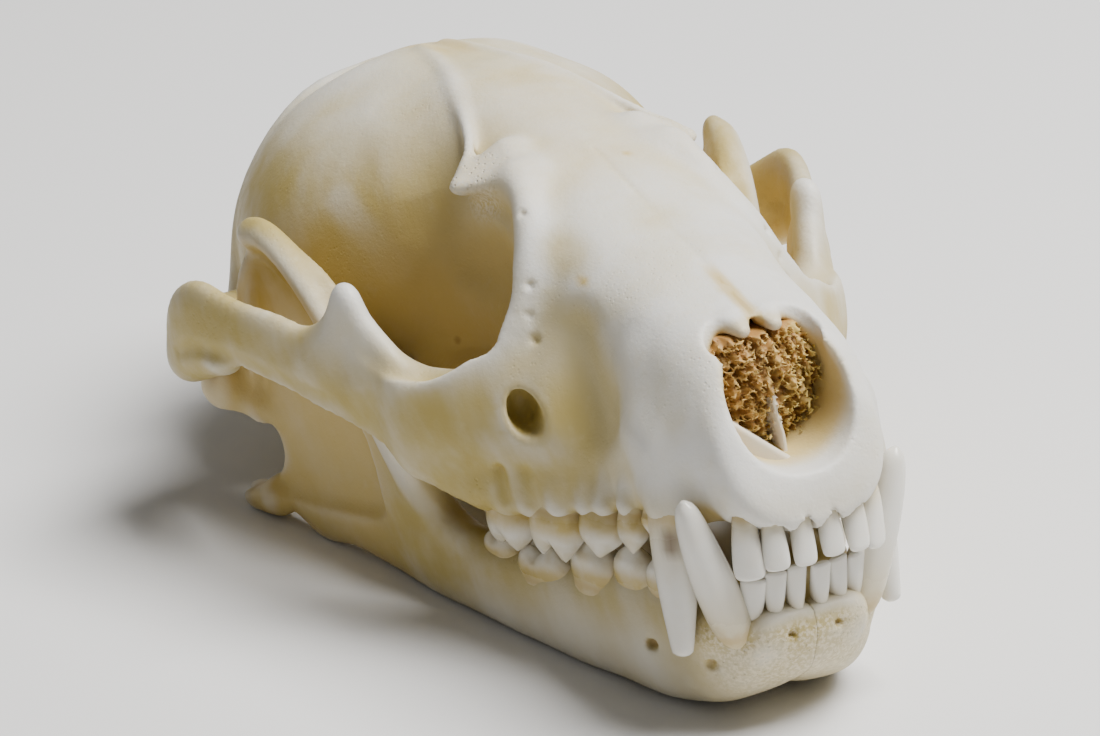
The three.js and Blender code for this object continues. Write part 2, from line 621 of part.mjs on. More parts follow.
// The skull put together
const bone = new THREE.MeshStandardMaterial({ color: BONE_COLOUR, roughness: 0.55, metalness: 0 });
const scroll = new THREE.MeshStandardMaterial({ color: SCROLL_COLOUR, roughness: 0.7, metalness: 0 });
const skull = new THREE.Group();

function add(name, made, material) {
  const mesh = new THREE.Mesh(geometryOf(made), material);
  mesh.name = name;
  skull.add(mesh);
}

add("rostrum", snoutSolid(), bone);
add("braincase", brainSolid(), bone);
for (const [side, place] of [["left", (made) => made], ["right", flipped]]) {
  add(`zygomatic_arch_${side}`, place(archSolid()), bone);
  add(`mandible_${side}`, place(jawSolid()), bone);
  add(`turbinates_${side}`, place(scrollSolid()), scroll);
}

// Pitched to rest on the jaw, centred over the origin
skull.rotation.x = -PITCH;
const contact = point(0, ...REST_FRONT).applyAxisAngle(point(1, 0, 0), -PITCH);
skull.position.set(0, -point(0, CENTRE_Y, 0).applyAxisAngle(point(1, 0, 0), -PITCH).y, -contact.z);

const raccoonSkull = new THREE.Group();
raccoonSkull.add(skull);

export default raccoonSkull;
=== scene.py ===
# Raccoon skull with its lower jaw closed, life size, resting on the jaw on a pale floor.
import math

import bpy
import numpy as np
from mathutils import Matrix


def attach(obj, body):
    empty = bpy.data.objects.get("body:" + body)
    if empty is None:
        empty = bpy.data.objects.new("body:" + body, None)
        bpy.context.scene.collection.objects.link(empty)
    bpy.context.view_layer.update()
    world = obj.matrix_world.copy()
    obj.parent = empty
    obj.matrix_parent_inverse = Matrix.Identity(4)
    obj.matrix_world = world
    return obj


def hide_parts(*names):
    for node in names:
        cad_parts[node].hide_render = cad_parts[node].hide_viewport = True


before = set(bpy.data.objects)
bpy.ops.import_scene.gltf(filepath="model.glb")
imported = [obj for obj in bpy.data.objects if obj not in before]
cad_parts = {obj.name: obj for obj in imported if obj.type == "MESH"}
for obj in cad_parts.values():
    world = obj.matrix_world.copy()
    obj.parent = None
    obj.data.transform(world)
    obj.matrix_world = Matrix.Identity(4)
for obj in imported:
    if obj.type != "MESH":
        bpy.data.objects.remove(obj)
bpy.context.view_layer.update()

import openvdb as vdb
from mathutils import Matrix


# Cranium. Snout, forehead, braincase and cheek arches of an adult are grown together into one bone.
# The bone is worked out in the skull's own frame, in millimetres: x to the animal's left, y back from
# the front of the snout, z up from the sockets of the upper incisors.

REST_FRONT = (30.0, -21.5)
REST_BACK = (86.0, -11.6)
PITCH = math.atan2(REST_BACK[1] - REST_FRONT[1], REST_BACK[0] - REST_FRONT[0])
MIDDLE_Y = 56.446
LIFT = REST_FRONT[0] * math.sin(PITCH) - REST_FRONT[1] * math.cos(PITCH)


def stand(points):
    """Skull frame in mm to the resting pose in metres: turned about X by the pitch, moved over the origin
    and lifted to the floor."""
    x, y, z = np.asarray(points, float).T
    back = y * math.cos(PITCH) + z * math.sin(PITCH) - MIDDLE_Y * math.cos(PITCH)
    up = z * math.cos(PITCH) - y * math.sin(PITCH) + LIFT
    return np.stack([x, back, up], 1) * 0.001


def curve(t, stations):
    """Cubic through (station, value) pairs: the slope at each is that of the line between its neighbours,
    and past the ends it stays level."""
    at, value = np.array(stations, float).T
    before = np.maximum(np.arange(len(at)) - 1, 0)
    after = np.minimum(np.arange(len(at)) + 1, len(at) - 1)
    slope = (value[after] - value[before]) / (at[after] - at[before])
    t = np.clip(np.asarray(t, float), at[0], at[-1])
    i = np.clip(np.searchsorted(at, t) - 1, 0, len(at) - 2)
    span = at[i + 1] - at[i]
    f = (t - at[i]) / span
    g = 1 - f
    ends = (1 + 2 * f) * g * g * value[i] + f * f * (3 - 2 * f) * value[i + 1]
    return (ends + f * g * g * span * slope[i] - f * f * g * span * slope[i + 1]).astype(np.float32)


def path(points, count):
    """Catmull-Rom spline through the points, count steps to each span."""
    p = np.array(points, float)
    p = np.vstack([2 * p[0] - p[1], p, 2 * p[-1] - p[-2]])
    t = (np.arange(count) / count)[:, None]
    spans = []
    for a, b, c, d in zip(p, p[1:], p[2:], p[3:]):
        spans.append(0.5 * (2 * b + (c - a) * t + (2 * a - 5 * b + 4 * c - d) * t**2
                            + (3 * b - a - 3 * c + d) * t**3))
    return np.vstack(spans + [p[-2:-1]])


def merge(a, b, soft):
    """Smooth lesser of two fields, rounded over the width soft."""
    h = np.clip(0.5 + 0.5 * (b - a) / soft, 0, 1)
    return b + (a - b) * h - soft * h * (1 - h)


def ease(t, low, high):
    """0 below low, 1 above high, smooth between."""
    f = np.clip((t - low) / (high - low), 0, 1)
    return f * f * (3 - 2 * f)


def ball(centre, radii):
    """Ellipsoid: k(k - 1) over the gradient's length, with k the distance in units of the radii."""
    c, r = np.array(centre, float), np.array(radii, float)

    def field(x, y, z):
        q = [(v - m) / n for v, m, n in zip((x, y, z), c, r)]
        k0 = np.sqrt(q[0] ** 2 + q[1] ** 2 + q[2] ** 2)
        k1 = np.sqrt((q[0] / r[0]) ** 2 + (q[1] / r[1]) ** 2 + (q[2] / r[2]) ** 2)
        return k0 * (k0 - 1) / np.maximum(k1, 1e-6)

    return field, c - r, c + r


def rod(start, end, r0, r1, flat=(1, 1, 1)):
    """Round cone: distance to the nearest point of a line, less a radius that changes along it.
    flat stretches it along each axis."""
    s = np.array(flat, float)
    a = np.array(start, float) / s
    d = np.array(end, float) / s - a

    def field(x, y, z):
        p = [v / n - m for v, n, m in zip((x, y, z), s, a)]
        t = np.clip((p[0] * d[0] + p[1] * d[1] + p[2] * d[2]) / (d @ d), 0, 1)
        q = [m - t * n for m, n in zip(p, d)]
        return (np.sqrt(q[0] ** 2 + q[1] ** 2 + q[2] ** 2) - r0 - (r1 - r0) * t) * s.min()

    ends = np.array([start, end], float)
    reach = s * max(r0, r1)
    return field, ends.min(0) - reach, ends.max(0) + reach


def line(points, r0, r1):
    """Raised line: the least of round cones from point to point."""
    radii = np.linspace(r0, r1, len(points))
    rods = [rod(a, b, m, n) for a, b, m, n in zip(points, points[1:], radii, radii[1:])]

    def field(x, y, z):
        least = rods[0][0](x, y, z)
        for form in rods[1:]:
            least = np.minimum(least, form[0](x, y, z))
        return least

    return field, np.min([r[1] for r in rods], 0), np.max([r[2] for r in rods], 0)


def tube(wide, bottom, top, power, front, back):
    """Body with a superellipse across each station y: half-width, bottom, top and power are curves of y."""
    def field(x, y, z):
        w, low, n = curve(y, wide), curve(y, bottom), curve(y, power)
        high = (curve(y, top) - low) / 2
        qx = np.abs(x) / w
        qz = np.abs(z - low - high) / high
        round_ = np.maximum(np.sqrt(qx**2 + qz**2), 1e-6)
        steep = np.sqrt((qx / w) ** 2 + (qz / high) ** 2) / round_
        return ((qx**n + qz**n) ** (1 / n) - 1) / np.maximum(steep, 1e-6)

    return field, np.array([0, front, -9]), np.array([24, back, 42])


def strap(points, high, thick, power):
    """Upright strap along points: the least of superellipses across the spans, with half-sizes by the
    share of the length."""
    count = len(points) - 1

    def field(x, y, z):
        least = None
        for i, (a, b) in enumerate(zip(points, points[1:])):
            d = b - a
            level = math.hypot(d[0], d[1])
            t = np.clip(((x - a[0]) * d[0] + (y - a[1]) * d[1]) / level**2, 0, 1)
            qx, qy, qz = x - a[0] - t * d[0], y - a[1] - t * d[1], z - a[2] - t * d[2]
            across = np.abs(qx * d[1] - qy * d[0]) / level
            along = np.abs(qx * d[0] + qy * d[1]) / level
            share = (i + t) / count
            w = curve(share, thick)
            total = (across / w) ** power + (along / w) ** power + (np.abs(qz) / curve(share, high)) ** power
            value = (total ** (1 / power) - 1) * w
            least = value if least is None else np.minimum(least, value)
        return least

    reach = np.array([4, 4, 8])
    return field, points.min(0) - reach, points.max(0) + reach


class Clay:
    """One side of a bone as a field on a grid, below zero inside, built up and carved form by form."""

    FAR = 30
    DEEPEST = 6

    def __init__(self, low, high, step):
        self.step = step
        self.low = np.array(low, float)
        self.axes = [np.arange(a, b + step, step, dtype=np.float32) for a, b in zip(low, high)]
        self.field = np.full([len(a) for a in self.axes], self.FAR, np.float32)

    def region(self, form, soft):
        """The grid points near a form, as slices and as open coordinate arrays."""
        pad = 2 * soft + 2 * self.step
        cuts = []
        for axis, a, b in zip(self.axes, form[1] - pad, form[2] + pad):
            cuts.append(slice(*np.searchsorted(axis, (a, b))))
        return tuple(cuts), np.meshgrid(*[a[c] for a, c in zip(self.axes, cuts)], indexing="ij", sparse=True)

    def add(self, form, soft):
        """The smooth lesser of the field and the form."""
        cuts, grid = self.region(form, soft)
        self.field[cuts] = merge(self.field[cuts], form[0](*grid), soft)

    def carve(self, form, soft):
        """The smooth greater of the field and the form turned inside out."""
        cuts, grid = self.region(form, soft)
        self.field[cuts] = -merge(-self.field[cuts], form[0](*grid), soft)

    def blur(self, reach):
        """The field averaged over a box of that half-width, twice along each axis, by running sums."""
        n = max(1, int(round(reach / self.step)))
        out = self.field.clip(-self.DEEPEST, self.DEEPEST)
        for axis in (0, 1, 2):
            for _ in range(2):
                width = [(0, 0)] * 3
                width[axis] = (n + 1, n)
                filled = np.pad(out, width, mode="reflect" if axis == 0 else "edge")
                total = np.cumsum(filled, axis, dtype=np.float64)
                size = out.shape[axis]
                upper = np.take(total, np.arange(2 * n + 1, 2 * n + 1 + size), axis)
                lower = np.take(total, np.arange(size), axis)
                out = ((upper - lower) / (2 * n + 1)).astype(np.float32)
        return out

    def sample(self, values, points):
        """Values of a grid at points, straight between the eight nearest."""
        p = (np.abs(points * [1, 0, 0]) + points * [0, 1, 1] - self.low) / self.step
        top = np.array(values.shape) - 2
        i = np.clip(np.floor(p).astype(int), 0, top)
        f = np.clip(p - i, 0, 1)
        total = 0
        for corner in np.ndindex(2, 2, 2):
            weight = np.prod(np.where(corner, f, 1 - f), 1)
            total = total + weight * values[tuple((i + corner).T)]
        return total

    def surface(self, both):
        """Points in mm and faces of the zero surface, mirrored across the midline where both is true."""
        field = np.concatenate([self.field[:0:-1], self.field]) if both else self.field
        start = self.low - [self.step * (len(self.axes[0]) - 1) if both else 0, 0, 0]
        grid = vdb.FloatGrid()
        grid.copyFromArray(np.ascontiguousarray(field))
        points, triangles, quads = grid.convertToPolygons(isovalue=0.0, adaptivity=0.0)
        faces = [quads[:, [0, 1, 2]], quads[:, [0, 2, 3]]] + ([triangles] if len(triangles) else [])
        faces = np.vstack(faces)
        return points * self.step + start, faces.astype(np.int64)


def largest(points, faces):
    """The surface with the most points: each point takes the least number among its neighbours until
    none changes."""
    label = np.arange(len(points))
    ends = np.vstack([faces[:, [0, 1]], faces[:, [1, 2]], faces[:, [2, 0]]])
    while True:
        least = np.minimum(label[ends[:, 0]], label[ends[:, 1]])
        new = label.copy()
        np.minimum.at(new, ends[:, 0], least)
        np.minimum.at(new, ends[:, 1], least)
        new = new[new]
        if (new == label).all():
            break
        label = new
    kept = label == np.bincount(label).argmax()
    number = np.cumsum(kept) - 1
    return points[kept], number[faces[kept[faces[:, 0]]]]


def outward(points, faces):
    """Faces turned so that the volume they enclose counts as positive."""
    a, b, c = points[faces[:, 0]], points[faces[:, 1]], points[faces[:, 2]]
    return faces if np.einsum("ij,ij->", a, np.cross(b, c)) > 0 else faces[:, ::-1]


def make_piece(name, points, faces, share=1.0):
    """A smooth-shaded mesh object from points in the skull frame and triangles, thinned to a share of
    its faces."""
    mesh = bpy.data.meshes.new(name)
    mesh.vertices.add(len(points))
    mesh.vertices.foreach_set("co", stand(points).astype(np.float32).ravel())
    mesh.loops.add(faces.size)
    mesh.loops.foreach_set("vertex_index", faces.astype(np.int32).ravel())
    mesh.polygons.add(len(faces))
    mesh.polygons.foreach_set("loop_start", np.arange(0, faces.size, 3, dtype=np.int32))
    mesh.update(calc_edges=True)
    obj = bpy.data.objects.new(name, mesh)
    bpy.context.scene.collection.objects.link(obj)
    if share < 1:
        thin = obj.modifiers.new("thin", "DECIMATE")
        thin.ratio = share
        bpy.context.view_layer.objects.active = obj
        bpy.ops.object.modifier_apply(modifier=thin.name)
    obj.data.polygons.foreach_set("use_smooth", np.ones(len(obj.data.polygons), bool))
    obj.data.validate()
    return obj


def skull_points(obj):
    """The object's vertices back in the skull frame, in mm."""
    co = np.empty(len(obj.data.vertices) * 3, np.float32)
    obj.data.vertices.foreach_get("co", co)
    x, back, up = co.reshape(-1, 3).T.astype(float) * 1000
    back = back + MIDDLE_Y * math.cos(PITCH)
    up = up - LIFT
    y = back * math.cos(PITCH) - up * math.sin(PITCH)
    z = back * math.sin(PITCH) + up * math.cos(PITCH)
    return np.stack([x, y, z], 1)


def paint(obj, name, values):
    """A value for each vertex, as a named attribute that a material reads."""
    layer = obj.data.attributes.new(name, "FLOAT", "POINT")
    layer.data.foreach_set("value", np.clip(values, 0, 1).astype(np.float32))


def upward(obj):
    """The upright share of each vertex normal, from -1 under the piece to 1 on top."""
    normal = np.empty(len(obj.data.vertices) * 3, np.float32)
    obj.data.vertices.foreach_get("normal", normal)
    return normal[2::3]


def ripple(clay, seed, count, size, height):
    """Uneven growth: a sum of sine waves in scattered directions, of about one wavelength, added to the
    field."""
    rng = np.random.default_rng(seed)
    ways = rng.normal(size=(count, 3))
    ways *= (2 * np.pi / size / np.linalg.norm(ways, axis=1))[:, None] * rng.uniform(0.7, 1.4, (count, 1))
    x, y, z = np.meshgrid(*clay.axes, indexing="ij", sparse=True)
    total = np.zeros_like(clay.field)
    for way, phase in zip(ways, rng.uniform(0, 2 * np.pi, count)):
        total += np.sin(way[0] * x + way[1] * y + way[2] * z + np.float32(phase)).astype(np.float32)
    clay.field += (height / math.sqrt(count) * total).astype(np.float32)


RIDGE_LINE = [(-3, 14), (5, 17.6), (9, 19.6), (20, 23.4), (34, 28), (44, 31.6), (53, 33.6), (63, 35),
              (75, 36)]
SNOUT_FLOOR = [(-3, -1), (12, -1), (25, -1.5), (36, -1), (45, 2), (60, 5), (75, 6)]
SNOUT_HALF = [(-3, 7.4), (3, 9), (8, 10.8), (15, 11.6), (22, 12), (30, 13.4), (36, 14.2), (42, 13),
              (48, 12.2), (54, 11.6), (62, 11), (70, 13)]
SNOUT_POWER = [(0, 2.4), (20, 2.6), (40, 2.7), (60, 2.6)]
SNOUT_FRONT = [(-3, 0.4), (0, 0.2), (5, 1.8), (11, 3.8), (16, 5.6), (19, 8.6), (24, 14)]
SNOUT_BACK = 72
SOCKET_Z = [(0, 0), (12, -0.6), (18, -1.8), (24, -2.8), (30, -3.4), (36, -3.9), (44, -4.2), (52, -3.2)]
ARCADE_DEEP = 11
ARCADE_TOP = [(y, z + ARCADE_DEEP) for y, z in SOCKET_Z]
ARCADE_HALF = [(-1, 5), (2, 8), (4, 8.7), (6, 9.1), (8, 10.8), (10.5, 13.2), (14, 12.8), (18, 12.8),
               (24, 14), (32, 17.6), (38, 20), (44, 20.2), (49, 18)]
ARCADE_POWER = [(9, 2.6), (15, 4.5), (48, 4.5)]
ARCADE_FRONT = [(-4, 0.6), (0, 0.4), (5, 1.8), (11, 4)]
ARCADE_BACK = 49
LARGE_EGG = ball((0, 86, 16.5), (26.5, 27, 21.3))
SMALL_EGG = ball((0, 68, 21.5), (15.5, 22, 13.8))
VAULT_LOW = 5.5
VAULT_BACK = 109
PALATE_HALF = [(40, 15), (50, 12), (60, 9.5), (68, 8.5), (80, 8)]
PALATE_LOW = [(40, -1), (60, -1.5), (70, -1)]
PALATE_TOP = [(40, 8), (60, 9), (80, 9)]
PALATE_POWER = [(0, 2.6), (1, 2.6)]
PALATE_ENDS = (38, 72)
ORBIT = ball((22, 48.5, 20.5), (11.2, 13, 11))
ORBIT_CORNER = rod((18.2, 39.5, 15.6), (17, 40, 20), 3.4, 3.2)
ARCH_PATH = path([(21, 41, 5.4), (26.3, 48.5, 7.6), (30.4, 57, 10.6), (34.9, 65.6, 13.7), (37.8, 73, 15.5),
                  (37.9, 79.4, 13.5), (35.4, 84.8, 11.2), (29.5, 87.5, 10.4), (20, 88, 10.5)], 6)
ARCH_HIGH = [(0, 6.4), (0.125, 5), (0.25, 4.2), (0.375, 3.8), (0.5, 4.2), (0.62, 4.5), (0.75, 4.1), (1, 3)]
ARCH_THICK = [(0, 2.6), (0.125, 2.2), (0.25, 1.9), (0.375, 1.7), (0.5, 1.9), (0.62, 2.2), (0.75, 2.9),
              (1, 4)]
HINGE = ((24.6, 83.8, 4.2), (33.6, 82.9, 4.8), 2.3)
HINGE_PLAY = 0.55


def snout(x, y, z):
    """Tube under the nose's ridge line, ended at the back and cut to the sloping front."""
    body = tube(SNOUT_HALF, SNOUT_FLOOR, RIDGE_LINE, SNOUT_POWER, 0, 0)[0](x, y, z)
    body = -merge(-body, SNOUT_BACK - y, 6)
    return -merge(-body, y - curve(z, SNOUT_FRONT), 1.5)


def arcade(x, y, z):
    """Ledge that holds the upper teeth: a tube of even depth over the sockets, ended like the snout."""
    body = tube(ARCADE_HALF, SOCKET_Z, ARCADE_TOP, ARCADE_POWER, 0, 0)[0](x, y, z)
    body = -merge(-body, ARCADE_BACK - y, 3)
    return -merge(-body, y - curve(z, ARCADE_FRONT), 1.5)


def vault(x, y, z):
    """Braincase: a large and a small egg run together, flattened below and behind."""
    body = merge(LARGE_EGG[0](x, y, z), SMALL_EGG[0](x, y, z), 8)
    body = -merge(-body, z - VAULT_LOW, 5)
    return -merge(-body, VAULT_BACK - y, 5)


def palate(x, y, z):
    """Low tube behind the teeth, under the braincase's front, ended before and behind."""
    body = tube(PALATE_HALF, PALATE_LOW, PALATE_TOP, PALATE_POWER, 0, 0)[0](x, y, z)
    body = -merge(-body, PALATE_ENDS[1] - y, 3)
    return -merge(-body, y - PALATE_ENDS[0], 3)


# main forms: snout, tooth ledge, rim of the orbit, root of the arch, braincase, palate, arch
skull = Clay((0, -1.6, -5.6), (42.4, 115.2, 40), 0.4)
skull.add((snout, np.array([0, -2, -6]), np.array([20, 80, 40])), 5)
skull.add((arcade, np.array([0, -2, -6]), np.array([26, 56, 12])), 5)
CANINE_ROOT = rod((11, 11, 1), (9.4, 18.4, 14.5), 2.7, 1.8)
skull.add(CANINE_ROOT, 3.2)
ORBIT_RIM = path([(9.6, 46, 30.6), (11, 41.6, 28.4), (12.8, 37.6, 23.4), (15.6, 36.4, 17.2),
                  (19.6, 40.4, 12.6), (24.5, 45.8, 10.2)], 4)
skull.add(line(ORBIT_RIM, 0.8, 2.4), 4)
ARCH_ROOT = rod((13.5, 31, 6), (25, 45.5, 6.6), 3.8, 3, (1, 1, 2))
skull.add(ARCH_ROOT, 4.5)
skull.add((vault, np.array([0, 40, -2]), np.array([30, 116, 40])), 6)
skull.add((palate, np.array([0, 34, -4]), np.array([20, 78, 12])), 3)
PALATE_SIDE = rod((13, 47, 3.4), (11, 66, 4), 5, 4.6)
skull.add(PALATE_SIDE, 3)
skull.add(strap(ARCH_PATH, ARCH_HIGH, ARCH_THICK, 2.4), 2.5)
ARCH_CORNER = rod((37, 72, 11), (36.8, 82.6, 8.4), 1.8, 2.4)
skull.add(ARCH_CORNER, 2.5)
ripple(skull, 4, 10, 13, 0.16)
skull.carve(ORBIT, 0.8)
skull.carve(ORBIT_CORNER, 1)

# hollow of the temple, brow spurs, lines of the chewing muscle, nape crest, spur on the arch
TEMPLE_HOLLOW = path([(22.2, 55, 27), (21.6, 57, 32.5), (17.8, 65, 40.4), (12.8, 76, 46)], 4)
skull.carve(line(TEMPLE_HOLLOW, 9.5, 9.5), 2.4)
BROW_SPUR = rod((8.6, 47.6, 30.4), (14.2, 51.4, 29.6), 2.8, 0.9, (1, 1, 0.6))
skull.add(BROW_SPUR, 3)
SPUR_ROOT = rod((8, 51.6, 31.4), (11.4, 52.4, 30.2), 2.2, 1.5)
skull.add(SPUR_ROOT, 2.5)
TEMPLE_RIDGE = path([(14, 51.8, 29.7), (12.6, 53.4, 31), (10.4, 56.6, 32.9), (7.6, 64, 35.2),
                     (4.2, 75, 37.1), (1.5, 88, 37.6)], 6)
skull.add(line(TEMPLE_RIDGE, 0.6, 0.35), 1.6)
NAPE_CREST = path([(0, 106.5, 32.5), (10, 105, 30.5), (19, 101, 23), (25, 97, 12), (27, 96, 5)], 4)
skull.add(line(NAPE_CREST, 1.1, 1.1), 3)
ARCH_SPUR = (28.9, 52.8, 19.2)
for foot in ((25.6, 47, 10), (28.3, 52, 10.6), (31, 57.4, 11.6)):
    skull.add(rod(foot, ARCH_SPUR, 2.9, 1.2, (0.7, 1, 1)), 2)
ORBIT_SILL = [(20.4, 41.2, 10.4), (23.4, 44.8, 10.7), (27.2, 49.8, 11.8)]
skull.add(line(ORBIT_SILL, 1.4, 1.5), 1.5)

# ear capsule and the spurs about it, neck's condyle, spinal opening, seat of the jaw's hinge, ear opening
EAR_CAPSULE = ball((13.5, 89, 3), (7.6, 9.5, 7))
skull.add(EAR_CAPSULE, 2)
MASTOID = rod((20, 94, 9), (24.6, 96.4, 4.8), 4.8, 3)
skull.add(MASTOID, 3)
NECK_SPUR = rod((16.5, 98.6, 7), (17.6, 100.4, 0.4), 3.4, 1.7)
skull.add(NECK_SPUR, 2.5)
HINGE_STOP = rod((22.5, 88.6, 8), (31, 88, 4.6), 2.6, 2)
skull.add(HINGE_STOP, 2)
CONDYLE = ball((7.8, 105, 9), (6, 7.4, 5.6))
skull.add(CONDYLE, 2)
SPINAL_OPENING = rod((0, 103, 14.5), (0, 122, 12.5), 6, 6.6)
skull.carve(SPINAL_OPENING, 1)
skull.carve(rod(HINGE[0], HINGE[1], HINGE[2] + HINGE_PLAY, HINGE[2] + HINGE_PLAY), 0.5)
EAR_OPENING = rod((22.4, 90.6, 8.4), (32, 91.6, 7.6), 1.9, 2.3)
skull.carve(EAR_OPENING, 0.8)

# ridges over the roots of the cheek teeth (y, x, height) and the incisors (y, x), with the notch at each
# incisor's neck, then the hollow of the muzzle, grooves of the cheek (y, x) and the canal below the eye
ROOTS = [(18.8, 12.8, 5.6), (22.7, 13.9, 6), (25.4, 14.7, 6.4), (28.6, 16.6, 6.6), (32.6, 18, 6.4),
         (36.4, 19.2, 5.6), (40.6, 19.6, 5)]
for at, out, tall in ROOTS:
    foot = float(curve(at, SOCKET_Z))
    skull.add(rod((out, at, foot + 1.7), (out - 1, at, foot + tall), 1.4, 0.5), 1.4)
for at, out in ((1.5, 1.6), (1.9, 4.7), (3.6, 7.5)):
    skull.add(rod((out, at + 0.4, 1.4), (out, at + 2.2, 5.2), 1.2, 0.6), 1.2)
    skull.carve(rod((out, at - 1.3, -2), (out, at - 0.8, 0.8), 1.4, 0.9), 0.5)
MUZZLE_HOLLOW = rod((16.7, 22.4, 8.8), (15.2, 26.6, 17.6), 3.7, 3.2)
skull.carve(MUZZLE_HOLLOW, 2.8)
for at, out in ((34.2, 20.9), (30.8, 19.7), (27.2, 18)):
    skull.carve(rod((out, at, -1.4), (out - 0.4, at + 0.6, 2), 0.6, 0.4), 1.2)
CANAL = rod((20, 25, 7.2), (17.8, 33.2, 8.9), 2.0, 2.0, (0.85, 1, 1.15))
skull.carve(CANAL, 0.5)

# nasal hollow, the notches and tips of the nasal bones, the suture between them, the crease of the arch
nose_hollow = tube([(-3, 7.1), (4, 7), (10, 6.6), (26, 5)], [(-3, 4.6), (4, 4.9), (26, 9.2)],
                   [(-3, 19.4), (4, 19.4), (26, 19.2)], [(0, 2.2), (1, 2.2)], -2, 26)
skull.carve(nose_hollow, 0.6)
SIDE_NOTCH = rod((4.4, 7.8, 15), (4.2, 10.4, 25), 2.1, 2.3)
skull.carve(SIDE_NOTCH, 0.4)
MIDDLE_NOTCH = rod((0, 7.8, 15), (0, 10.2, 25), 1, 1)
skull.carve(MIDDLE_NOTCH, 0.3)
NASAL_TIP = rod((2, 11.6, 19.1), (1.9, 9.2, 18.5), 1.3, 0.7, (1.2, 1, 1))
skull.add(NASAL_TIP, 0.8)
NASAL_SUTURE = path([(0, 9, 20), (0, 20, 23.7), (0, 34, 28.2), (0, 46, 32.4)], 4)
skull.carve(line(NASAL_SUTURE, 0.35, 0.2), 0.4)
ARCH_CREASE = path([(32.9, 55.9, 7.6), (37.3, 64.8, 10.6), (40.1, 72.4, 12.2), (40.8, 78.6, 10.8)], 4)
skull.carve(line(ARCH_CREASE, 1.4, 0.7), 1)

# small holes for vessels along the orbit's front rim
PITS = [((12.1, 39.9, 28.2), 0.45), ((14.6, 34.4, 21.6), 0.45), ((15.5, 33.6, 18.6), 0.4),
        ((15.5, 32.7, 16), 0.6)]
for pit, size in PITS:
    skull.carve(ball(pit, (size, size, size)), 0.3)

points, faces = largest(*skull.surface(True))
faces = outward(points, faces)
CRANIUM_FACES = 190000
cranium = make_piece("cranium", points, faces, min(1, CRANIUM_FACES / len(faces)))
p = skull_points(cranium)
side = np.abs(p[:, 0])
back = p[:, 1]
high = p[:, 2]


def spot(at, inner, outer, stretch=(1, 1, 1)):
    """A round stain: full within the inner distance of a point, gone at the outer one."""
    return 1 - ease(np.linalg.norm((p - at) / stretch, axis=1), inner, outer)


# hollow and broad: how far a point lies below its near and its wider surroundings
hollow = -skull.sample(skull.blur(1.2), p)
broad = -skull.sample(skull.blur(3.2), p)
suture = (1 - ease(side, 0.3, 1.3)) * (1 - ease(back, 17, 22)) * ease(high, 16, 18)
# a dark spot painted as the shade inside a small opening on the orbit's inner wall, and the real dark suture
# between the nasal bones
hole_shade_and_suture = np.maximum(0.95 * spot((-12.4, 61.1, 9.7), 0.4, 2), 0.84 * suture)
# painted light: inside the canal below the eye the painted crease shade and the ivory are cut to 0.3, as if
# it were lit
canal_light = 0.3 + 0.7 * ease(CANAL[0](side, back, high), 0.3, 1)
# hollow also drives the dark brown painted shade in the deepest creases
paint(cranium, "hollow", np.maximum(0.5 + hollow * canal_light * 0.8, hole_shade_and_suture))
paint(cranium, "broad", 0.5 + broad * canal_light * 0.35)

# gold: inside the orbit, the arch and the nose, in the sutures, beside the canine and on two specks
SOCKET_EDGE = [(36, 15), (48, 18), (60, 21), (75, 26), (90, 28)]
socket = ease(back, 37, 44) * (1 - 0.8 * ease(back, 60, 86)) * (1 - 0.75 * ease(high, 18, 32))
socket *= 1 - ease(side - curve(back, SOCKET_EDGE), -1, 2)
socket = np.maximum(socket, 0.85 * (1 - ease(ORBIT_CORNER[0](side, back, high), 0.1, 0.6)))
ARCH_MIDDLE = [(48, 26), (57, 30.4), (65.6, 34.7), (73, 37.6), (79.4, 37.7), (88, 34)]
arch_inside = ease(back, 50, 60) * (1 - ease(back, 80, 88)) * ease(side, 26, 29)
arch_inside *= 1 - ease(side - curve(back, ARCH_MIDDLE), -1.2, -0.2)
inside_nose = (1 - ease(nose_hollow[0](*p.T), 0.2, 1.0)) * ease(back, 2, 6)
crown_line = 0.6 * (1 - ease(np.abs(side - 1.2), 0.5, 1.6)) * ease(back, 76, 84) * ease(high, 30, 34)
gap = 1 - ease(np.hypot(np.hypot(side - 9.8, back - 6.8), high + 0.4), 1.6, 3.6)
specks = np.maximum(spot((2.8, 43.4, 31.2), 0.3, 1), spot((-10.9, 28.5, 22.4), 0.2, 1.4, (0.6, 1.2, 0.8)))
stains = [socket, arch_inside, inside_nose, suture, crown_line, gap, specks]
paint(cranium, "gold", np.maximum.reduce(stains))

# warm: ivory of the cheek, the gum line, the temple round its pale streaks, the shaded sides and a smear
cheek = ease(side, 8, 15) * (1 - ease(high, 8, 22)) * ease(back, 12, 30)
gums = 1 - ease(high - curve(back, SOCKET_Z), 0.5, 6)
gums *= 0.35 + 0.65 * ease(back, 6, 14)
PALE_STREAK = [(20.2, 72.7, 25.7), (18.6, 68, 22), (17.8, 64.6, 19)]
streaks = line(PALE_STREAK, 0, 0)[0](side, back, high)
temple = ease(back, 50, 60) * (1 - ease(high, 25, 38)) * (1 - 0.5 * ease(back, 90, 106))
temple *= 0.3 + 0.7 * ease(streaks, 0.8, 3)
shaded = 0.6 * (1 - ease(upward(cranium), -0.1, 0.85)) * ease(back, 6, 26)
smear = 0.7 * spot((-10.4, 32.8, 24.4), 1, 5, (0.8, 1.5, 1))
paint(cranium, "warm", np.maximum.reduce([cheek, gums, temple, shaded, smear]))

# chalk: the crumbly tips of the brow spurs
paint(cranium, "chalk", np.maximum(spot((12.6, 51, 30), 2, 6), spot((-12.6, 51, 30), 2, 6)))


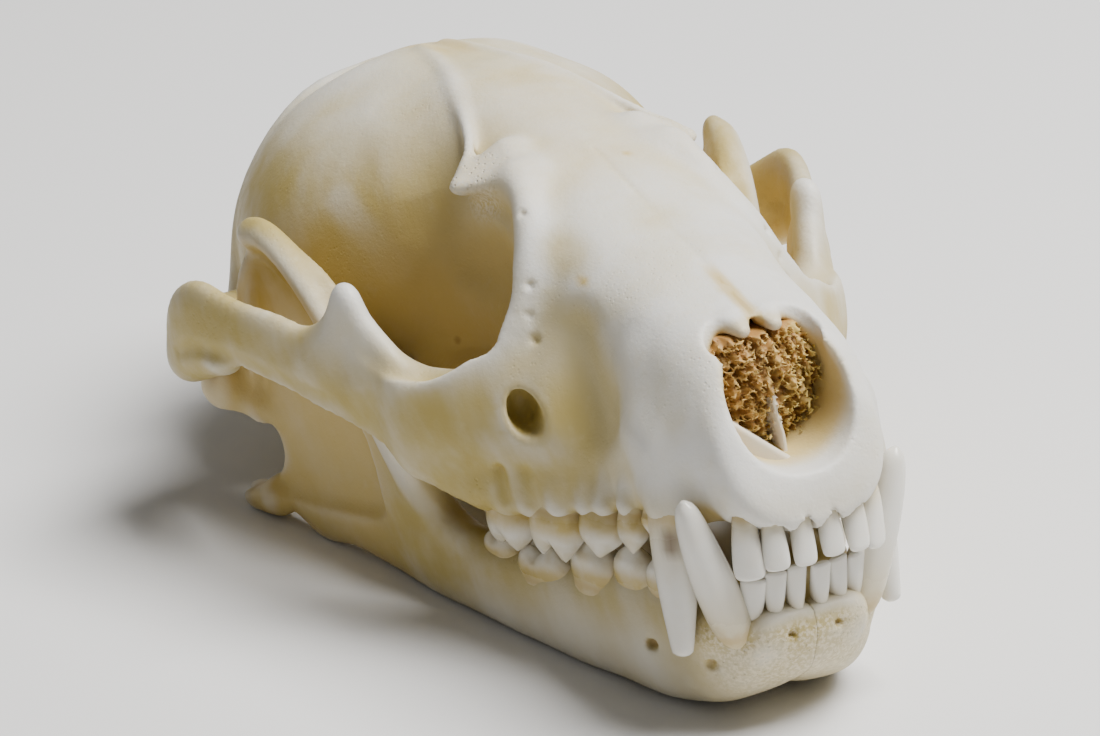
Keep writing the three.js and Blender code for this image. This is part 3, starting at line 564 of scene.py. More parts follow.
def new_group(name, inputs, outputs):
    """An empty shader node group with named sockets: inputs carry a default, outputs only a kind."""
    group = bpy.data.node_groups.new(name, "ShaderNodeTree")
    for label, kind, value in inputs:
        group.interface.new_socket(label, in_out="INPUT", socket_type=kind).default_value = value
    for label, kind in outputs:
        group.interface.new_socket(label, in_out="OUTPUT", socket_type=kind)
    return group, group.nodes.new("NodeGroupInput"), group.nodes.new("NodeGroupOutput")


def noise(tree, vector, scale, detail, rough=0.55):
    """A cloudy value from 0 to 1, with scale clouds to a metre."""
    node = tree.nodes.new("ShaderNodeTexNoise")
    node.inputs["Scale"].default_value = scale
    node.inputs["Detail"].default_value = detail
    node.inputs["Roughness"].default_value = rough
    tree.links.new(vector, node.inputs["Vector"])
    return node.outputs["Fac"]


def ramp(tree, value, low, high, out_low=0.0, out_high=1.0):
    """A value brought smoothly from one range to another."""
    node = tree.nodes.new("ShaderNodeMapRange")
    node.interpolation_type = "SMOOTHSTEP"
    for label, number in zip(("From Min", "From Max", "To Min", "To Max"), (low, high, out_low, out_high)):
        node.inputs[label].default_value = number
    tree.links.new(value, node.inputs["Value"])
    return node.outputs["Result"]


def sums(tree, kind, a, b):
    """Two values added, subtracted or multiplied, each a number or a socket."""
    node = tree.nodes.new("ShaderNodeMath")
    node.operation = kind
    for socket, value in zip(node.inputs, (a, b)):
        if isinstance(value, (int, float)):
            socket.default_value = value
        else:
            tree.links.new(value, socket)
    return node.outputs[0]


def blend(tree, amount, a, b):
    """Two colours mixed by a mask."""
    node = tree.nodes.new("ShaderNodeMix")
    node.data_type = "RGBA"
    for socket, value in zip((node.inputs["Factor"], node.inputs[6], node.inputs[7]), (amount, a, b)):
        if isinstance(value, (int, float)):
            socket.default_value = value
        elif isinstance(value, tuple):
            socket.default_value = (*value, 1)
        else:
            tree.links.new(value, socket)
    return node.outputs[2]


# dry bone: white where it was rubbed, ivory in the hollows, dark brown sutures and dark brown painted shade
# in the deepest creases, with cloudy stains, pores and grain
bone_group, bone_in, bone_out = new_group(
    "dry bone",
    [("Place", "NodeSocketVector", (0, 0, 0)), ("Hollow", "NodeSocketFloat", 0.5),
     ("Broad", "NodeSocketFloat", 0.5), ("Gold", "NodeSocketFloat", 0.0), ("Warm", "NodeSocketFloat", 0.0),
     ("Chalk", "NodeSocketFloat", 0.0)],
    [("Colour", "NodeSocketColor"), ("Rough", "NodeSocketFloat"), ("Height", "NodeSocketFloat")],
)
place = bone_in.outputs["Place"]
cloud = noise(bone_group, place, 90, 4)
mottle = noise(bone_group, place, 420, 5, 0.6)
grain = noise(bone_group, place, 2200, 4, 0.6)
WHITE = (0.72, 0.705, 0.66)
IVORY = (0.62, 0.54, 0.33)
OLIVE = (0.42, 0.32, 0.085)
AMBER = (0.58, 0.43, 0.15)
SHADE_AND_SUTURE_BROWN = (0.24, 0.13, 0.03)
SAND = (0.70, 0.62, 0.45)
fibres = bone_group.nodes.new("ShaderNodeMapping")
fibres.vector_type = "TEXTURE"
fibres.inputs["Rotation"].default_value = (0.9, 0, 0)
fibres.inputs["Scale"].default_value = (1, 4, 1)
bone_group.links.new(place, fibres.inputs["Vector"])
streak = noise(bone_group, fibres.outputs["Vector"], 210, 3)
cloudy = ramp(bone_group, cloud, 0.45, 0.75, 0, 0.45)
ivory_share = sums(bone_group, "ADD", ramp(bone_group, bone_in.outputs["Broad"], 0.34, 0.66), cloudy)
colour = blend(bone_group, ivory_share, WHITE, IVORY)
patches = sums(bone_group, "MULTIPLY", sums(bone_group, "ADD", cloud, streak), 0.5)
patches = sums(bone_group, "ADD", patches, sums(bone_group, "MULTIPLY", bone_in.outputs["Hollow"], 0.5))
patchy = ramp(bone_group, patches, 0.42, 0.84, 0.5, 1)
warm_share = sums(bone_group, "MULTIPLY", bone_in.outputs["Warm"], patchy)
colour = blend(bone_group, warm_share, colour, OLIVE)
uneven = ramp(bone_group, cloud, 0.2, 0.7, 0.75, 1)
gold_share = sums(bone_group, "MULTIPLY", bone_in.outputs["Gold"], uneven)
colour = blend(bone_group, gold_share, colour, AMBER)
# painted shade: the deepest creases and the painted dark spot turn dark brown, as do the real sutures
deep = ramp(bone_group, bone_in.outputs["Hollow"], 0.72, 1.0, 0, 0.6)
colour = blend(bone_group, deep, colour, SHADE_AND_SUTURE_BROWN)
worn = ramp(bone_group, bone_in.outputs["Hollow"], 0.36, 0.1, 0, 0.45)
colour = blend(bone_group, worn, colour, WHITE)
colour = blend(bone_group, ramp(bone_group, mottle, 0.56, 0.8, 0, 0.22), colour, IVORY)
sandy = sums(bone_group, "MULTIPLY", bone_in.outputs["Chalk"], ramp(bone_group, grain, 0.42, 0.62))
colour = blend(bone_group, sandy, colour, SAND)
bone_group.links.new(colour, bone_out.inputs["Colour"])
bone_group.links.new(ramp(bone_group, mottle, 0.3, 0.7, 0.42, 0.6), bone_out.inputs["Rough"])
pores = bone_group.nodes.new("ShaderNodeTexVoronoi")
pores.inputs["Scale"].default_value = 1500
bone_group.links.new(place, pores.inputs["Vector"])
pore = ramp(bone_group, pores.outputs["Distance"], 0.12, 0.3, 0, 1)
porous = sums(bone_group, "ADD", ramp(bone_group, cloud, 0.5, 0.8, 0.05, 0.5), bone_in.outputs["Chalk"])
pore_share = sums(bone_group, "MULTIPLY", sums(bone_group, "SUBTRACT", pore, 1), porous)
bumps = sums(bone_group, "MULTIPLY", mottle, 0.6)
bumps = sums(bone_group, "ADD", bumps, sums(bone_group, "MULTIPLY", grain, 0.3))
bumps = sums(bone_group, "ADD", bumps, sums(bone_group, "MULTIPLY", pore_share, 0.7))
bone_group.links.new(bumps, bone_out.inputs["Height"])


def painted(tree, mask):
    """A mask painted on the piece's points, as a value from 0 to 1."""
    node = tree.nodes.new("ShaderNodeAttribute")
    node.attribute_name = mask
    return node.outputs["Fac"]


def new_material(name):
    """A plain material with nodes, its tree, its shader, and the place of each point on the piece."""
    material = bpy.data.materials.new(name)
    material.use_nodes = True
    tree = material.node_tree
    place = tree.nodes.new("ShaderNodeTexCoord").outputs["Object"]
    return material, tree, tree.nodes["Principled BSDF"], place


def roughen(tree, shader, height, depth, strength):
    """A bump on the shader's normal from a height value, of that depth in metres."""
    bump = tree.nodes.new("ShaderNodeBump")
    bump.inputs["Distance"].default_value = depth
    bump.inputs["Strength"].default_value = strength
    tree.links.new(height, bump.inputs["Height"])
    tree.links.new(bump.outputs["Normal"], shader.inputs["Normal"])


def scatter(shader, weight, radius, scale):
    """Light that spreads below the surface: its share, its reach by colour, and that reach in metres."""
    shader.inputs["Subsurface Weight"].default_value = weight
    shader.inputs["Subsurface Radius"].default_value = radius
    shader.inputs["Subsurface Scale"].default_value = scale


BONE_GRAIN = 0.00025


def bone_material(name):
    """Dry bone with the masks painted on the piece, and its grain as a bump."""
    material, tree, shader, place = new_material(name)
    finish = tree.nodes.new("ShaderNodeGroup")
    finish.node_tree = bone_group
    tree.links.new(place, finish.inputs["Place"])
    for mask in ("hollow", "broad", "gold", "warm", "chalk"):
        tree.links.new(painted(tree, mask), finish.inputs[mask.capitalize()])
    tree.links.new(finish.outputs["Colour"], shader.inputs["Base Color"])
    tree.links.new(finish.outputs["Rough"], shader.inputs["Roughness"])
    roughen(tree, shader, finish.outputs["Height"], BONE_GRAIN, 0.6)
    scatter(shader, 0.12, (1.0, 0.75, 0.5), 0.0012)
    shader.inputs["Specular IOR Level"].default_value = 0.4
    return material


cranium.data.materials.append(bone_material("cranium bone"))
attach(cranium, "root")
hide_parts("rostrum", "braincase", "zygomatic_arch_left", "zygomatic_arch_right")


# Scroll bones of the nose: crinkled plates of paper-thin bone that fill the hollow behind the opening,
# with the upright septum between the two sides and smooth pale plates on the floor. They grow from the
# snout's inner wall.

NOSE_AXIS = [(0, 12.1), (26, 14)]


def dome(x, rise):
    """How far back the crinkled plates begin: a bowl about the nose's axis, with two waves added."""
    bowl = 6.6 + 0.05 * (x * x + rise * rise)
    return bowl + 0.35 * np.sin(1.9 * x + 1.1 * rise) + 0.2 * np.sin(3.1 * rise - 2.3 * x)


def scrolls(x, y, z):
    """Crinkled plates: the sheets of a gyroid warped twice over, on a solid back, behind a domed front."""
    rise = z - curve(y, NOSE_AXIS)
    warp = 0.9 * np.sin(0.9 * x + 0.7 * rise + 1.3) + 0.5 * np.sin(1.7 * rise - 1.1 * x + 0.4 * y)
    fine = np.sin(2.9 * x - 1.7 * rise + 0.8 * warp) * np.sin(2.3 * rise + 1.9 * x + 0.6)
    u = 4.4 * (x + 0.5 * warp + 0.16 * fine)
    w = 4.9 * (rise + 0.45 * np.sin(1.3 * x + 0.5 * y) + 0.3 * warp + 0.2 * fine)
    v = 1.1 * y + 0.9 * warp
    sheet = np.sin(u) * np.cos(w) + np.sin(w) * np.cos(v) + np.sin(v) * np.cos(u)
    front = dome(x, rise) + 0.8 * fine
    plates = np.maximum((np.abs(sheet) - 0.22) / 4.8, front - y)
    return np.maximum(np.minimum(plates, front + 1.5 - y), np.sqrt(x * x + rise * rise) - 7.6)


def nose_floor(x, y, z):
    """Smooth floor: a shelf that climbs to the animal's right and drops at its left, behind a curved
    front edge."""
    top = 5.4 + 0.85 * np.maximum(-x, 0) - 1.6 * ease(x, 0, 1.2) + 0.05 * (y - 7)
    return -merge(top - z, y - 5 - 0.045 * x * x, 0.8)


def septum(x, y, z):
    """Upright plate about 0.4 mm thick, its front edge sloping back as it rises."""
    bend = 0.5 - 0.07 * (z - 5) + 0.1 * np.sin(1.1 * z)
    return np.maximum(np.maximum(np.abs(x - bend) - 0.19, 6.6 + 0.14 * (z - 5) - y), z - 12)


nose = Clay((-7.8, 2, 3.6), (7.8, 16, 20.6), 0.14)
whole_nose = np.array([-8, 2, 3.6]), np.array([8, 16, 20.6])
for form, soft in ((scrolls, 0.05), (nose_floor, 0.3), (septum, 0.15)):
    nose.add((form, *whole_nose), soft)
x, y, z = np.meshgrid(*nose.axes, indexing="ij", sparse=True)
nose.field = np.maximum(nose.field, nose_hollow[0](x, y, z).astype(np.float32) - 0.4)
nose.field = np.maximum(nose.field, z - 17.9 - 0.12 * (y - 9))
nose.field[:, [0, -1]] = 1
points, faces = largest(*nose.surface(False))
faces = outward(points, faces)
SCROLL_FACES = 180000
scroll = make_piece("scroll_bones", points, faces, min(1, SCROLL_FACES / len(faces)))
p = skull_points(scroll)
rise = p[:, 2] - curve(p[:, 1], NOSE_AXIS)
depth = p[:, 1] - dome(p[:, 0], rise)
plate = 1 - ease(np.minimum(nose_floor(*p.T), septum(*p.T)), 0.05, 0.3)
# painted shade: plates further behind the domed front are painted darker brown
paint(scroll, "depth", 0.15 + depth / 2.2)
paint(scroll, "plate", plate)
# painted light and shade: plates low and towards the animal's left are painted gold as if lit, the upper
# ones towards its right stay brown as if shaded
paint(scroll, "lit_side", ease(p[:, 0] - 0.5 * rise, -4, 6))

SCROLL_BROWN = (0.46, 0.28, 0.075)
SCROLL_TAN = (0.56, 0.38, 0.13)
LIT_GOLD = (0.62, 0.46, 0.13)
DEPTH_SHADE_BROWN = (0.34, 0.17, 0.04)
PLATE_CREAM = (0.70, 0.63, 0.50)
scroll_material, tree, shader, where = new_material("scroll bone")
tone = blend(tree, ramp(tree, noise(tree, where, 260, 3), 0.35, 0.7), SCROLL_BROWN, SCROLL_TAN)
# painted light: gold on the lit side of the plates
tone = blend(tree, painted(tree, "lit_side"), tone, LIT_GOLD)
# painted shade, darker deeper into the opening
tone = blend(tree, ramp(tree, painted(tree, "depth"), 0.2, 1.0), tone, DEPTH_SHADE_BROWN)
tone = blend(tree, painted(tree, "plate"), tone, PLATE_CREAM)
tree.links.new(tone, shader.inputs["Base Color"])
shader.inputs["Roughness"].default_value = 0.6
scatter(shader, 0.15, (1.0, 0.6, 0.3), 0.0008)
scroll.data.materials.append(scroll_material)
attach(scroll, "root")
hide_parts("turbinates_left", "turbinates_right")


# Upper teeth: crowns of enamel on roots set in the snout's sockets. Three incisors, a canine, four
# premolars and two molars to a side, each shaped from its own sizes.

RINGS = 26
SIDES = 28


def grid_faces(rings, sides):
    """Triangles between rings of points, and fans to the point before the first ring and the one after
    the last."""
    i, j = np.meshgrid(np.arange(rings - 1), np.arange(sides), indexing="ij")
    a, b = 1 + i * sides + j, 1 + i * sides + (j + 1) % sides
    c, d = a + sides, b + sides
    j = np.arange(sides)
    k = (j + 1) % sides
    last = 1 + (rings - 1) * sides
    fans = [np.stack([0 * j, 1 + k, 1 + j], 1), np.stack([0 * j + last + sides, last + j, last + k], 1)]
    walls = [np.stack([a, b, d], -1).reshape(-1, 3), np.stack([a, d, c], -1).reshape(-1, 3)]
    return np.vstack(walls + fans)


def tooth_frame(neck, tip, row):
    """Crown height and the directions along the row, across it and up the crown."""
    up = np.array(tip, float) - neck
    tall = np.linalg.norm(up)
    up /= tall
    along = np.array(row, float) - up * np.dot(row, up)
    along /= np.linalg.norm(along)
    return tall, along, np.cross(up, along), up


def peg(neck, tip, row, size, along_shape, across_shape, bow, power, start=-0.45):
    """Incisor or canine: superellipse rings up a bowed line, with half-sizes by the share of the crown's
    height."""
    tall, along, across, up = tooth_frame(neck, tip, row)
    v = start + (1 - start) * (0.5 - 0.5 * np.cos(np.linspace(0, np.pi, RINGS)))
    t = np.linspace(0, 2 * np.pi, SIDES, endpoint=False)
    c, s = np.cos(t), np.sin(t)
    reach = (np.abs(c) ** power + np.abs(s) ** power) ** (-1 / power)
    a = curve(v, along_shape)[:, None] * size[0] / 2 * (reach * c)
    b = curve(v, across_shape)[:, None] * size[1] / 2 * (reach * s)
    mid = np.array(neck) + v[:, None] * tall * up + bow * (v * (1 - v))[:, None] * across
    rings = mid[:, None] + a[..., None] * along + b[..., None] * across
    points = np.vstack([mid[:1], rings.reshape(-1, 3), mid[-1:]])
    return points, np.concatenate([v[:1], np.repeat(v, SIDES), v[-1:]])


CHEEK_POWER = 2.7


def cheek_tooth(neck, tip, row, size, cusps, wall, root):
    """Premolar or molar: a wall that swells over the neck, then rings that close over a crown whose
    height is that of the tallest of its rounded cusps at each point."""
    tall, along, across, up = tooth_frame(neck, tip, row)
    v = np.linspace(0, 1, RINGS)
    share = curve(v, [(0, root), (0.2, root + 0.06), (0.32, 0.96), (0.42, 1.0), (0.52, 0.93), (0.66, 0.7),
                      (1, 0)])
    base = curve(v, [(0, -0.8), (0.2, -0.12), (0.32, 0.06), (0.42, wall * 0.6), (0.52, wall * 0.95),
                     (0.66, wall), (1, wall * 0.85)])
    t = np.linspace(0, 2 * np.pi, SIDES, endpoint=False)
    c, s = np.cos(t), np.sin(t)
    reach = (np.abs(c) ** CHEEK_POWER + np.abs(s) ** CHEEK_POWER) ** (-1 / CHEEK_POWER)
    a, b = share[:, None] * (reach * c), share[:, None] * (reach * s)
    lift = np.zeros_like(a)
    for at, out, high, wide in cusps:
        steps = np.sqrt((a - at) ** 2 + (b - out) ** 2 + 0.006) / wide
        lift = np.maximum(lift, high * np.clip(1.06 - steps, 0, 1))
    h = (base[:, None] + lift * ease(v, 0.34, 0.6)[:, None]) * tall
    mid = np.array(neck, float)
    rings = mid + h[..., None] * up
    rings = rings + (a * size[0] / 2)[..., None] * along
    rings = rings + (b * size[1] / 2)[..., None] * across
    points = np.vstack([rings[0].mean(0)[None], rings.reshape(-1, 3), rings[-1].mean(0)[None]])
    crown = np.clip(h / tall, -1, 1)
    return points, np.concatenate([[-0.8], crown.ravel(), [wall]])


CHISEL_ALONG = [(-0.45, 0.4), (-0.1, 0.56), (0.1, 0.68), (0.4, 0.83), (0.72, 0.92), (0.88, 0.9),
                (0.95, 0.8), (0.985, 0.62), (1, 0.35)]
CHISEL_ACROSS = [(-0.45, 0.8), (0, 1), (0.3, 0.95), (0.7, 0.62), (0.95, 0.36), (1, 0.2)]
CHISEL = (CHISEL_ALONG, CHISEL_ACROSS, 0.0, 2.4)
SABRE = [(-0.45, 0.95), (-0.1, 1), (0.1, 1), (0.35, 0.93), (0.6, 0.77), (0.85, 0.56), (0.95, 0.47),
         (0.985, 0.4), (1, 0.25)]
ONE_CUSP = [(0, 0, 0.62, 1.15), (-0.72, 0, 0.2, 0.45), (0.75, 0, 0.2, 0.45)]
CUTTING = [(-0.38, 0.5, 0.62, 0.62), (0.42, 0.5, 0.55, 0.56), (-0.3, -0.42, 0.42, 0.6),
           (0.45, -0.4, 0.32, 0.5), (-0.85, 0.5, 0.3, 0.35)]
GRINDING = [(-0.45, 0.52, 0.5, 0.6), (0.42, 0.5, 0.46, 0.56), (-0.4, -0.45, 0.36, 0.6),
            (0.45, -0.45, 0.3, 0.5)]

UPPER_PEGS = [
    ((1.6, 1.3, 0.6), (1.7, 0.1, -5.2), (1, 0, 0), (2.9, 2.6), *CHISEL),
    ((4.7, 1.7, 0.6), (4.9, 0.5, -5.2), (1, 0.3, 0), (3.1, 2.8), *CHISEL),
    ((7.1, 3.2, 0.9), (7.5, 1.9, -6), (1, 0.7, 0), (3.7, 3.4), *CHISEL),
    ((11.6, 11, 0.4), (12.9, 9.6, -15), (0.2, 1, 0), (5.8, 4.6), SABRE, SABRE, 0.0, 2.2),
]
UPPER_CHEEK = [
    ((12, 15.3, -0.9), (12.5, 15, -3.4), (0, 1, 0), (2.6, 2), ONE_CUSP, 0.2, 0.8),
    ((12.5, 18.8, -1.5), (13.4, 18.6, -5.7), (0, 1, 0), (4.8, 2.9), ONE_CUSP, 0.42, 0.85),
    ((13.5, 24, -2.2), (14.9, 23.8, -7.2), (0.3, 1, 0), (6, 3.9), ONE_CUSP, 0.42, 0.85),
    ((15, 30.8, -2.8), (15.6, 30.8, -8.5), (0.42, 1, 0), (8, 7), CUTTING, 0.42, 0.85),
    ((16.2, 38.7, -3.2), (16.8, 38.7, -8.9), (0.12, 1, 0), (8.2, 8.4), GRINDING, 0.5, 0.85),
    ((15, 45.2, -3.2), (15.4, 45.2, -7.8), (-0.25, 1, 0), (5.4, 7.2), GRINDING, 0.5, 0.85),
]


TIP_SCATTER = 0.12
PEG_STAIN = 0.2
CHEEK_STAIN = 0.95


def tooth_row(name, pegs, cheeks, ways, seed):
    """All the crowns of a row as one mesh, each tip moved a little at random, painted with how far up
    the crown each point is and how stained the tooth is."""
    rng = np.random.default_rng(seed)
    points, faces, crowns, stains, count = [], [], [], [], 0
    shell = grid_faces(RINGS, SIDES)
    for way in ways:
        for make, table, stain in ((peg, pegs, PEG_STAIN), (cheek_tooth, cheeks, CHEEK_STAIN)):
            for neck, tip, *rest in table:
                q, crown = make(np.array(neck), np.array(tip) + rng.normal(0, TIP_SCATTER, 3), *rest)
                q = q * [way, 1, 1]
                points.append(q)
                faces.append(outward(q - q.mean(0), shell) + count)
                crowns.append(crown)
                stains.append(np.full(len(q), stain))
                count += len(q)
    obj = make_piece(name, np.vstack(points), np.vstack(faces))
    paint(obj, "crown", 0.5 + 0.5 * np.concatenate(crowns))
    paint(obj, "stain", np.concatenate(stains))
    return obj


# enamel: ivory at the neck, white towards the tip, with a brown film, a ring at the neck and one dark spot
NECK_IVORY = (0.60, 0.51, 0.30)
CLEAN_ENAMEL = (0.76, 0.745, 0.69)
OLD_FILM = (0.50, 0.38, 0.14)
NECK_RING = (0.46, 0.31, 0.09)
DARK_SPOT = (0.20, 0.14, 0.08)
enamel, tree, shader, where = new_material("tooth enamel")
milky = noise(tree, where, 330, 4)
shift = sums(tree, "MULTIPLY", sums(tree, "SUBTRACT", milky, 0.5), 0.16)
wander = sums(tree, "ADD", painted(tree, "crown"), shift)
tone = blend(tree, ramp(tree, wander, 0.4, 0.74), NECK_IVORY, CLEAN_ENAMEL)
band = sums(tree, "MULTIPLY", ramp(tree, wander, 0.46, 0.58), ramp(tree, wander, 0.8, 0.62))
film = sums(tree, "ADD", sums(tree, "MULTIPLY", band, 0.65), ramp(tree, milky, 0.36, 0.66, 0.2, 0.55))
film = sums(tree, "MULTIPLY", painted(tree, "stain"), film)
tone = blend(tree, film, tone, OLD_FILM)
ring = sums(tree, "MULTIPLY", ramp(tree, wander, 0.44, 0.49), ramp(tree, wander, 0.56, 0.5, 0, 0.5))
tone = blend(tree, ring, tone, NECK_RING)
tone = blend(tree, painted(tree, "spot"), tone, DARK_SPOT)
tree.links.new(tone, shader.inputs["Base Color"])
tree.links.new(ramp(tree, wander, 0.48, 0.6, 0.5, 0.24), shader.inputs["Roughness"])
roughen(tree, shader, noise(tree, where, 900, 4), 0.0001, 0.4)
scatter(shader, 0.15, (1.0, 0.8, 0.6), 0.001)

SPOT_AT = (-13.3, 8.7, -2.1)
upper_teeth = tooth_row("upper_teeth", UPPER_PEGS, UPPER_CHEEK, (1, -1), 11)
reach = np.linalg.norm((skull_points(upper_teeth) - SPOT_AT) * (1, 1, 0.7), axis=1)
paint(upper_teeth, "spot", 0.95 * (1 - ease(reach, 0.3, 1.7)))
upper_teeth.data.materials.append(enamel)
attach(upper_teeth, "root")
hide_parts("rostrum")


# Lower jaw: a left and a right half of bone, joined by a rough seam at the chin. Each is a deep strap with
# a tall thin branch for the chewing muscles, and a hinge rod that lies in the seat under the cheek arch.

JAW_TOP = [(3, -10.8), (6, -10.4), (12, -9.2), (20, -8.2), (28, -8.8), (38, -9.8), (46, -9.2), (53, -6.8),
           (58, 0), (61.5, 9.5), (65.5, 16.8), (70.5, 22), (75.5, 24), (78.5, 22.6), (80.4, 17), (81.6, 9),
           (82.8, 5.5), (84.6, 3.4), (86, -1)]
JAW_LOW = [(3, -14.5), (6, -18), (10, -21.4), (15, -23.2), (22, -22.8), (30, -21.8), (45, -19),
           (60, -16.2), (75, -13.4), (82, -12), (86, -11.6)]
JAW_MID = [(3, 2.2), (7, 3.3), (12, 4.6), (16, 6.2), (20, 8.5), (29, 11.8), (42, 15.8), (54, 19.9),
           (62, 23), (72, 27), (86, 30.8)]
JAW_THICK = [(3, 4), (7, 4.8), (12, 5.6), (16, 5.3), (20, 4.4), (30, 3.8), (45, 3.5), (55, 2.9),
             (62, 2.1), (75, 1.9), (86, 1.9)]
JAW_POWER = 2.6
JAW_LEAN = 0.05
JAW_ENDS = (3.2, 86.2)
SEAM = 0.01


def jaw_side(x, y, z):
    """Superellipse across each station, leaning outwards up the branch, ended in front and behind."""
    low, thick = curve(y, JAW_LOW), curve(y, JAW_THICK)
    high = (curve(y, JAW_TOP) - low) / 2
    mid = curve(y, JAW_MID) + JAW_LEAN * (z - low - high) * ease(y, 50, 66)
    across = (np.abs(x - mid) / thick) ** JAW_POWER
    tall = (np.abs(z - low - high) / high) ** JAW_POWER
    body = ((across + tall) ** (1 / JAW_POWER) - 1) * thick
    body = -merge(-body, y - JAW_ENDS[0], 2)
    return -merge(-body, JAW_ENDS[1] - y, 1.5)


HOLLOW_MARGIN = 4.5
HOLLOW_WALL = 0.5
HOLLOW_FRONT = 60.5
HOLLOW_LOW = -9


def branch_hollow(x, y, z):
    """Hollow for the chewing muscle: the branch's outer half, from a margin below its upper edge (the
    drop over the length of the slope), behind a front limit and above a lower one."""
    slope = curve(y + 0.5, JAW_TOP) - curve(y - 0.5, JAW_TOP)
    inward = (curve(y, JAW_TOP) - z) / np.sqrt(1 + slope * slope)
    low = curve(y, JAW_LOW)
    lean = JAW_LEAN * (z - low - (curve(y, JAW_TOP) - low) / 2)
    outside = x - curve(y, JAW_MID) - lean - HOLLOW_WALL
    limits = merge(y - HOLLOW_FRONT, z - HOLLOW_LOW, 3)
    return -merge(merge(inward - HOLLOW_MARGIN, outside, 1.2), limits, 2)


jaw = Clay((-0.72, 1.6, -25.2), (37.6, 91.6, 26.4), 0.36)
jaw.add((jaw_side, np.array([0, 1.6, -25]), np.array([37, 88, 26])), 1)
ripple(jaw, 9, 10, 11, 0.12)
jaw.carve((branch_hollow, np.array([20, 58, -14]), np.array([37, 84, 26])), 1)
BRANCH_EDGE = path([(19.6, 49.5, -10), (21.2, 53.2, -7.8), (23, 56, -3.6), (25.2, 59.9, 5.4),
                    (27.1, 63.7, 13.4), (28.7, 68.2, 19.5), (29.8, 72.9, 22.8), (30.4, 77, 23)], 4)
jaw.add(line(BRANCH_EDGE, 1.3, 1), 1.6)
jaw.add(rod(HINGE[0], HINGE[1], HINGE[2], HINGE[2] + 0.25), 1)
HINGE_NECK = rod((33.4, 82.2, 3.6), (27.6, 79.6, 0.4), 1.7, 1.3)
jaw.add(HINGE_NECK, 1.5)
ANGLE_SPUR = rod((29.4, 81, -9.6), (28.6, 88.4, -9.9), 1.9, 1.4)
jaw.add(ANGLE_SPUR, 1.2)
BACK_NOTCH = ball((31, 89.5, -3.4), (16, 10.4, 6))
jaw.carve(BACK_NOTCH, 1.4)
LOWER_CANINE_ROOT = rod((7.6, 10.4, -13), (6.8, 13.4, -18), 3.3, 2.4)
jaw.add(LOWER_CANINE_ROOT, 3)
CHIN = rod((0, 8, -15.4), (0, 17, -19.4), 3.6, 3)
jaw.add(CHIN, 3)

# ridges over the roots of the incisors (x, y), then the small openings for nerves on the outer side
for out, at in ((1.45, 5.2), (3.7, 5.6), (5.7, 6.6)):
    jaw.add(rod((out, at, -12.2), (out * 0.9, at + 1, -15), 1.1, 0.7), 1)
for pit, size in (((2.8, 3.2, -13.5), 0.5), ((9.7, 9.4, -16.8), 0.7), ((12.1, 18.7, -16.2), 0.65)):
    jaw.carve(ball(pit, (size, size * 1.6, size)), 0.3)

# the lower edge is cut level where it rests on the floor, and the seam at the chin is flat
x, y, z = np.meshgrid(*jaw.axes, indexing="ij", sparse=True)
above_floor = (z * math.cos(PITCH) - y * math.sin(PITCH) + LIFT + 0 * x).astype(np.float32)
jaw.field = -merge(-jaw.field, above_floor, 0.3)
jaw.field[0] = 1
points, faces = largest(*jaw.surface(False))
points[:, 0] = np.maximum(points[:, 0], SEAM)
faces = outward(points, faces)
JAW_FACES = 150000
share = min(1, JAW_FACES / len(faces))

# each half: flat shading on the seam, painted shade in the deepest creases, gold low on the branch, warm at
# the gums and behind, warm all over that is partly ivory and partly painted shade, chalk at the chin
jaw_bone = bone_material("jaw bone")
near = jaw.blur(1.0)
wide = jaw.blur(2.4)
for way, label in ((1, "left"), (-1, "right")):
    half = make_piece("lower_jaw_" + label, points * [way, 1, 1], faces[:, ::way], share)
    p = skull_points(half)
    back = p[:, 1]
    high = p[:, 2]
    corners = np.empty(len(half.data.loops), np.int32)
    half.data.loops.foreach_get("vertex_index", corners)
    at_seam = (np.abs(p[:, 0])[corners.reshape(-1, 3)] < 2 * SEAM).all(1)
    half.data.polygons.foreach_set("use_smooth", ~at_seam)
    # hollow: how far a point lies below its surroundings; its deepest creases turn dark brown as painted
    # shade
    paint(half, "hollow", 0.5 - 0.8 * jaw.sample(near, p))
    paint(half, "broad", 0.5 - 0.35 * jaw.sample(wide, p))
    paint(half, "gold", 0.85 * ease(back, 54, 66) * (1 - ease(high, 6, 20)))
    gums = 0.4 * (1 - ease(np.abs(high + 11), 1, 6))
    front = 0.2 * (1 - ease(back, 10, 22))
    # the even warm over the whole half is partly the bone's own ivory and partly painted shade that darkens
    # the jaw's side
    paint(half, "warm", gums + 0.5 + front + 0.45 * ease(back, 40, 62))
    paint(half, "chalk", 0.8 * (1 - ease(back, 7, 12)) * (1 - ease(high, -13, -11)))
    half.data.materials.append(jaw_bone)
    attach(half, "root")
    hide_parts("mandible_" + label)


# Lower teeth: crowns of enamel on roots set in the jaw's upper edge. Three narrow incisors, a hooked canine
# that closes in front of the upper one, four premolars and two molars to a side.

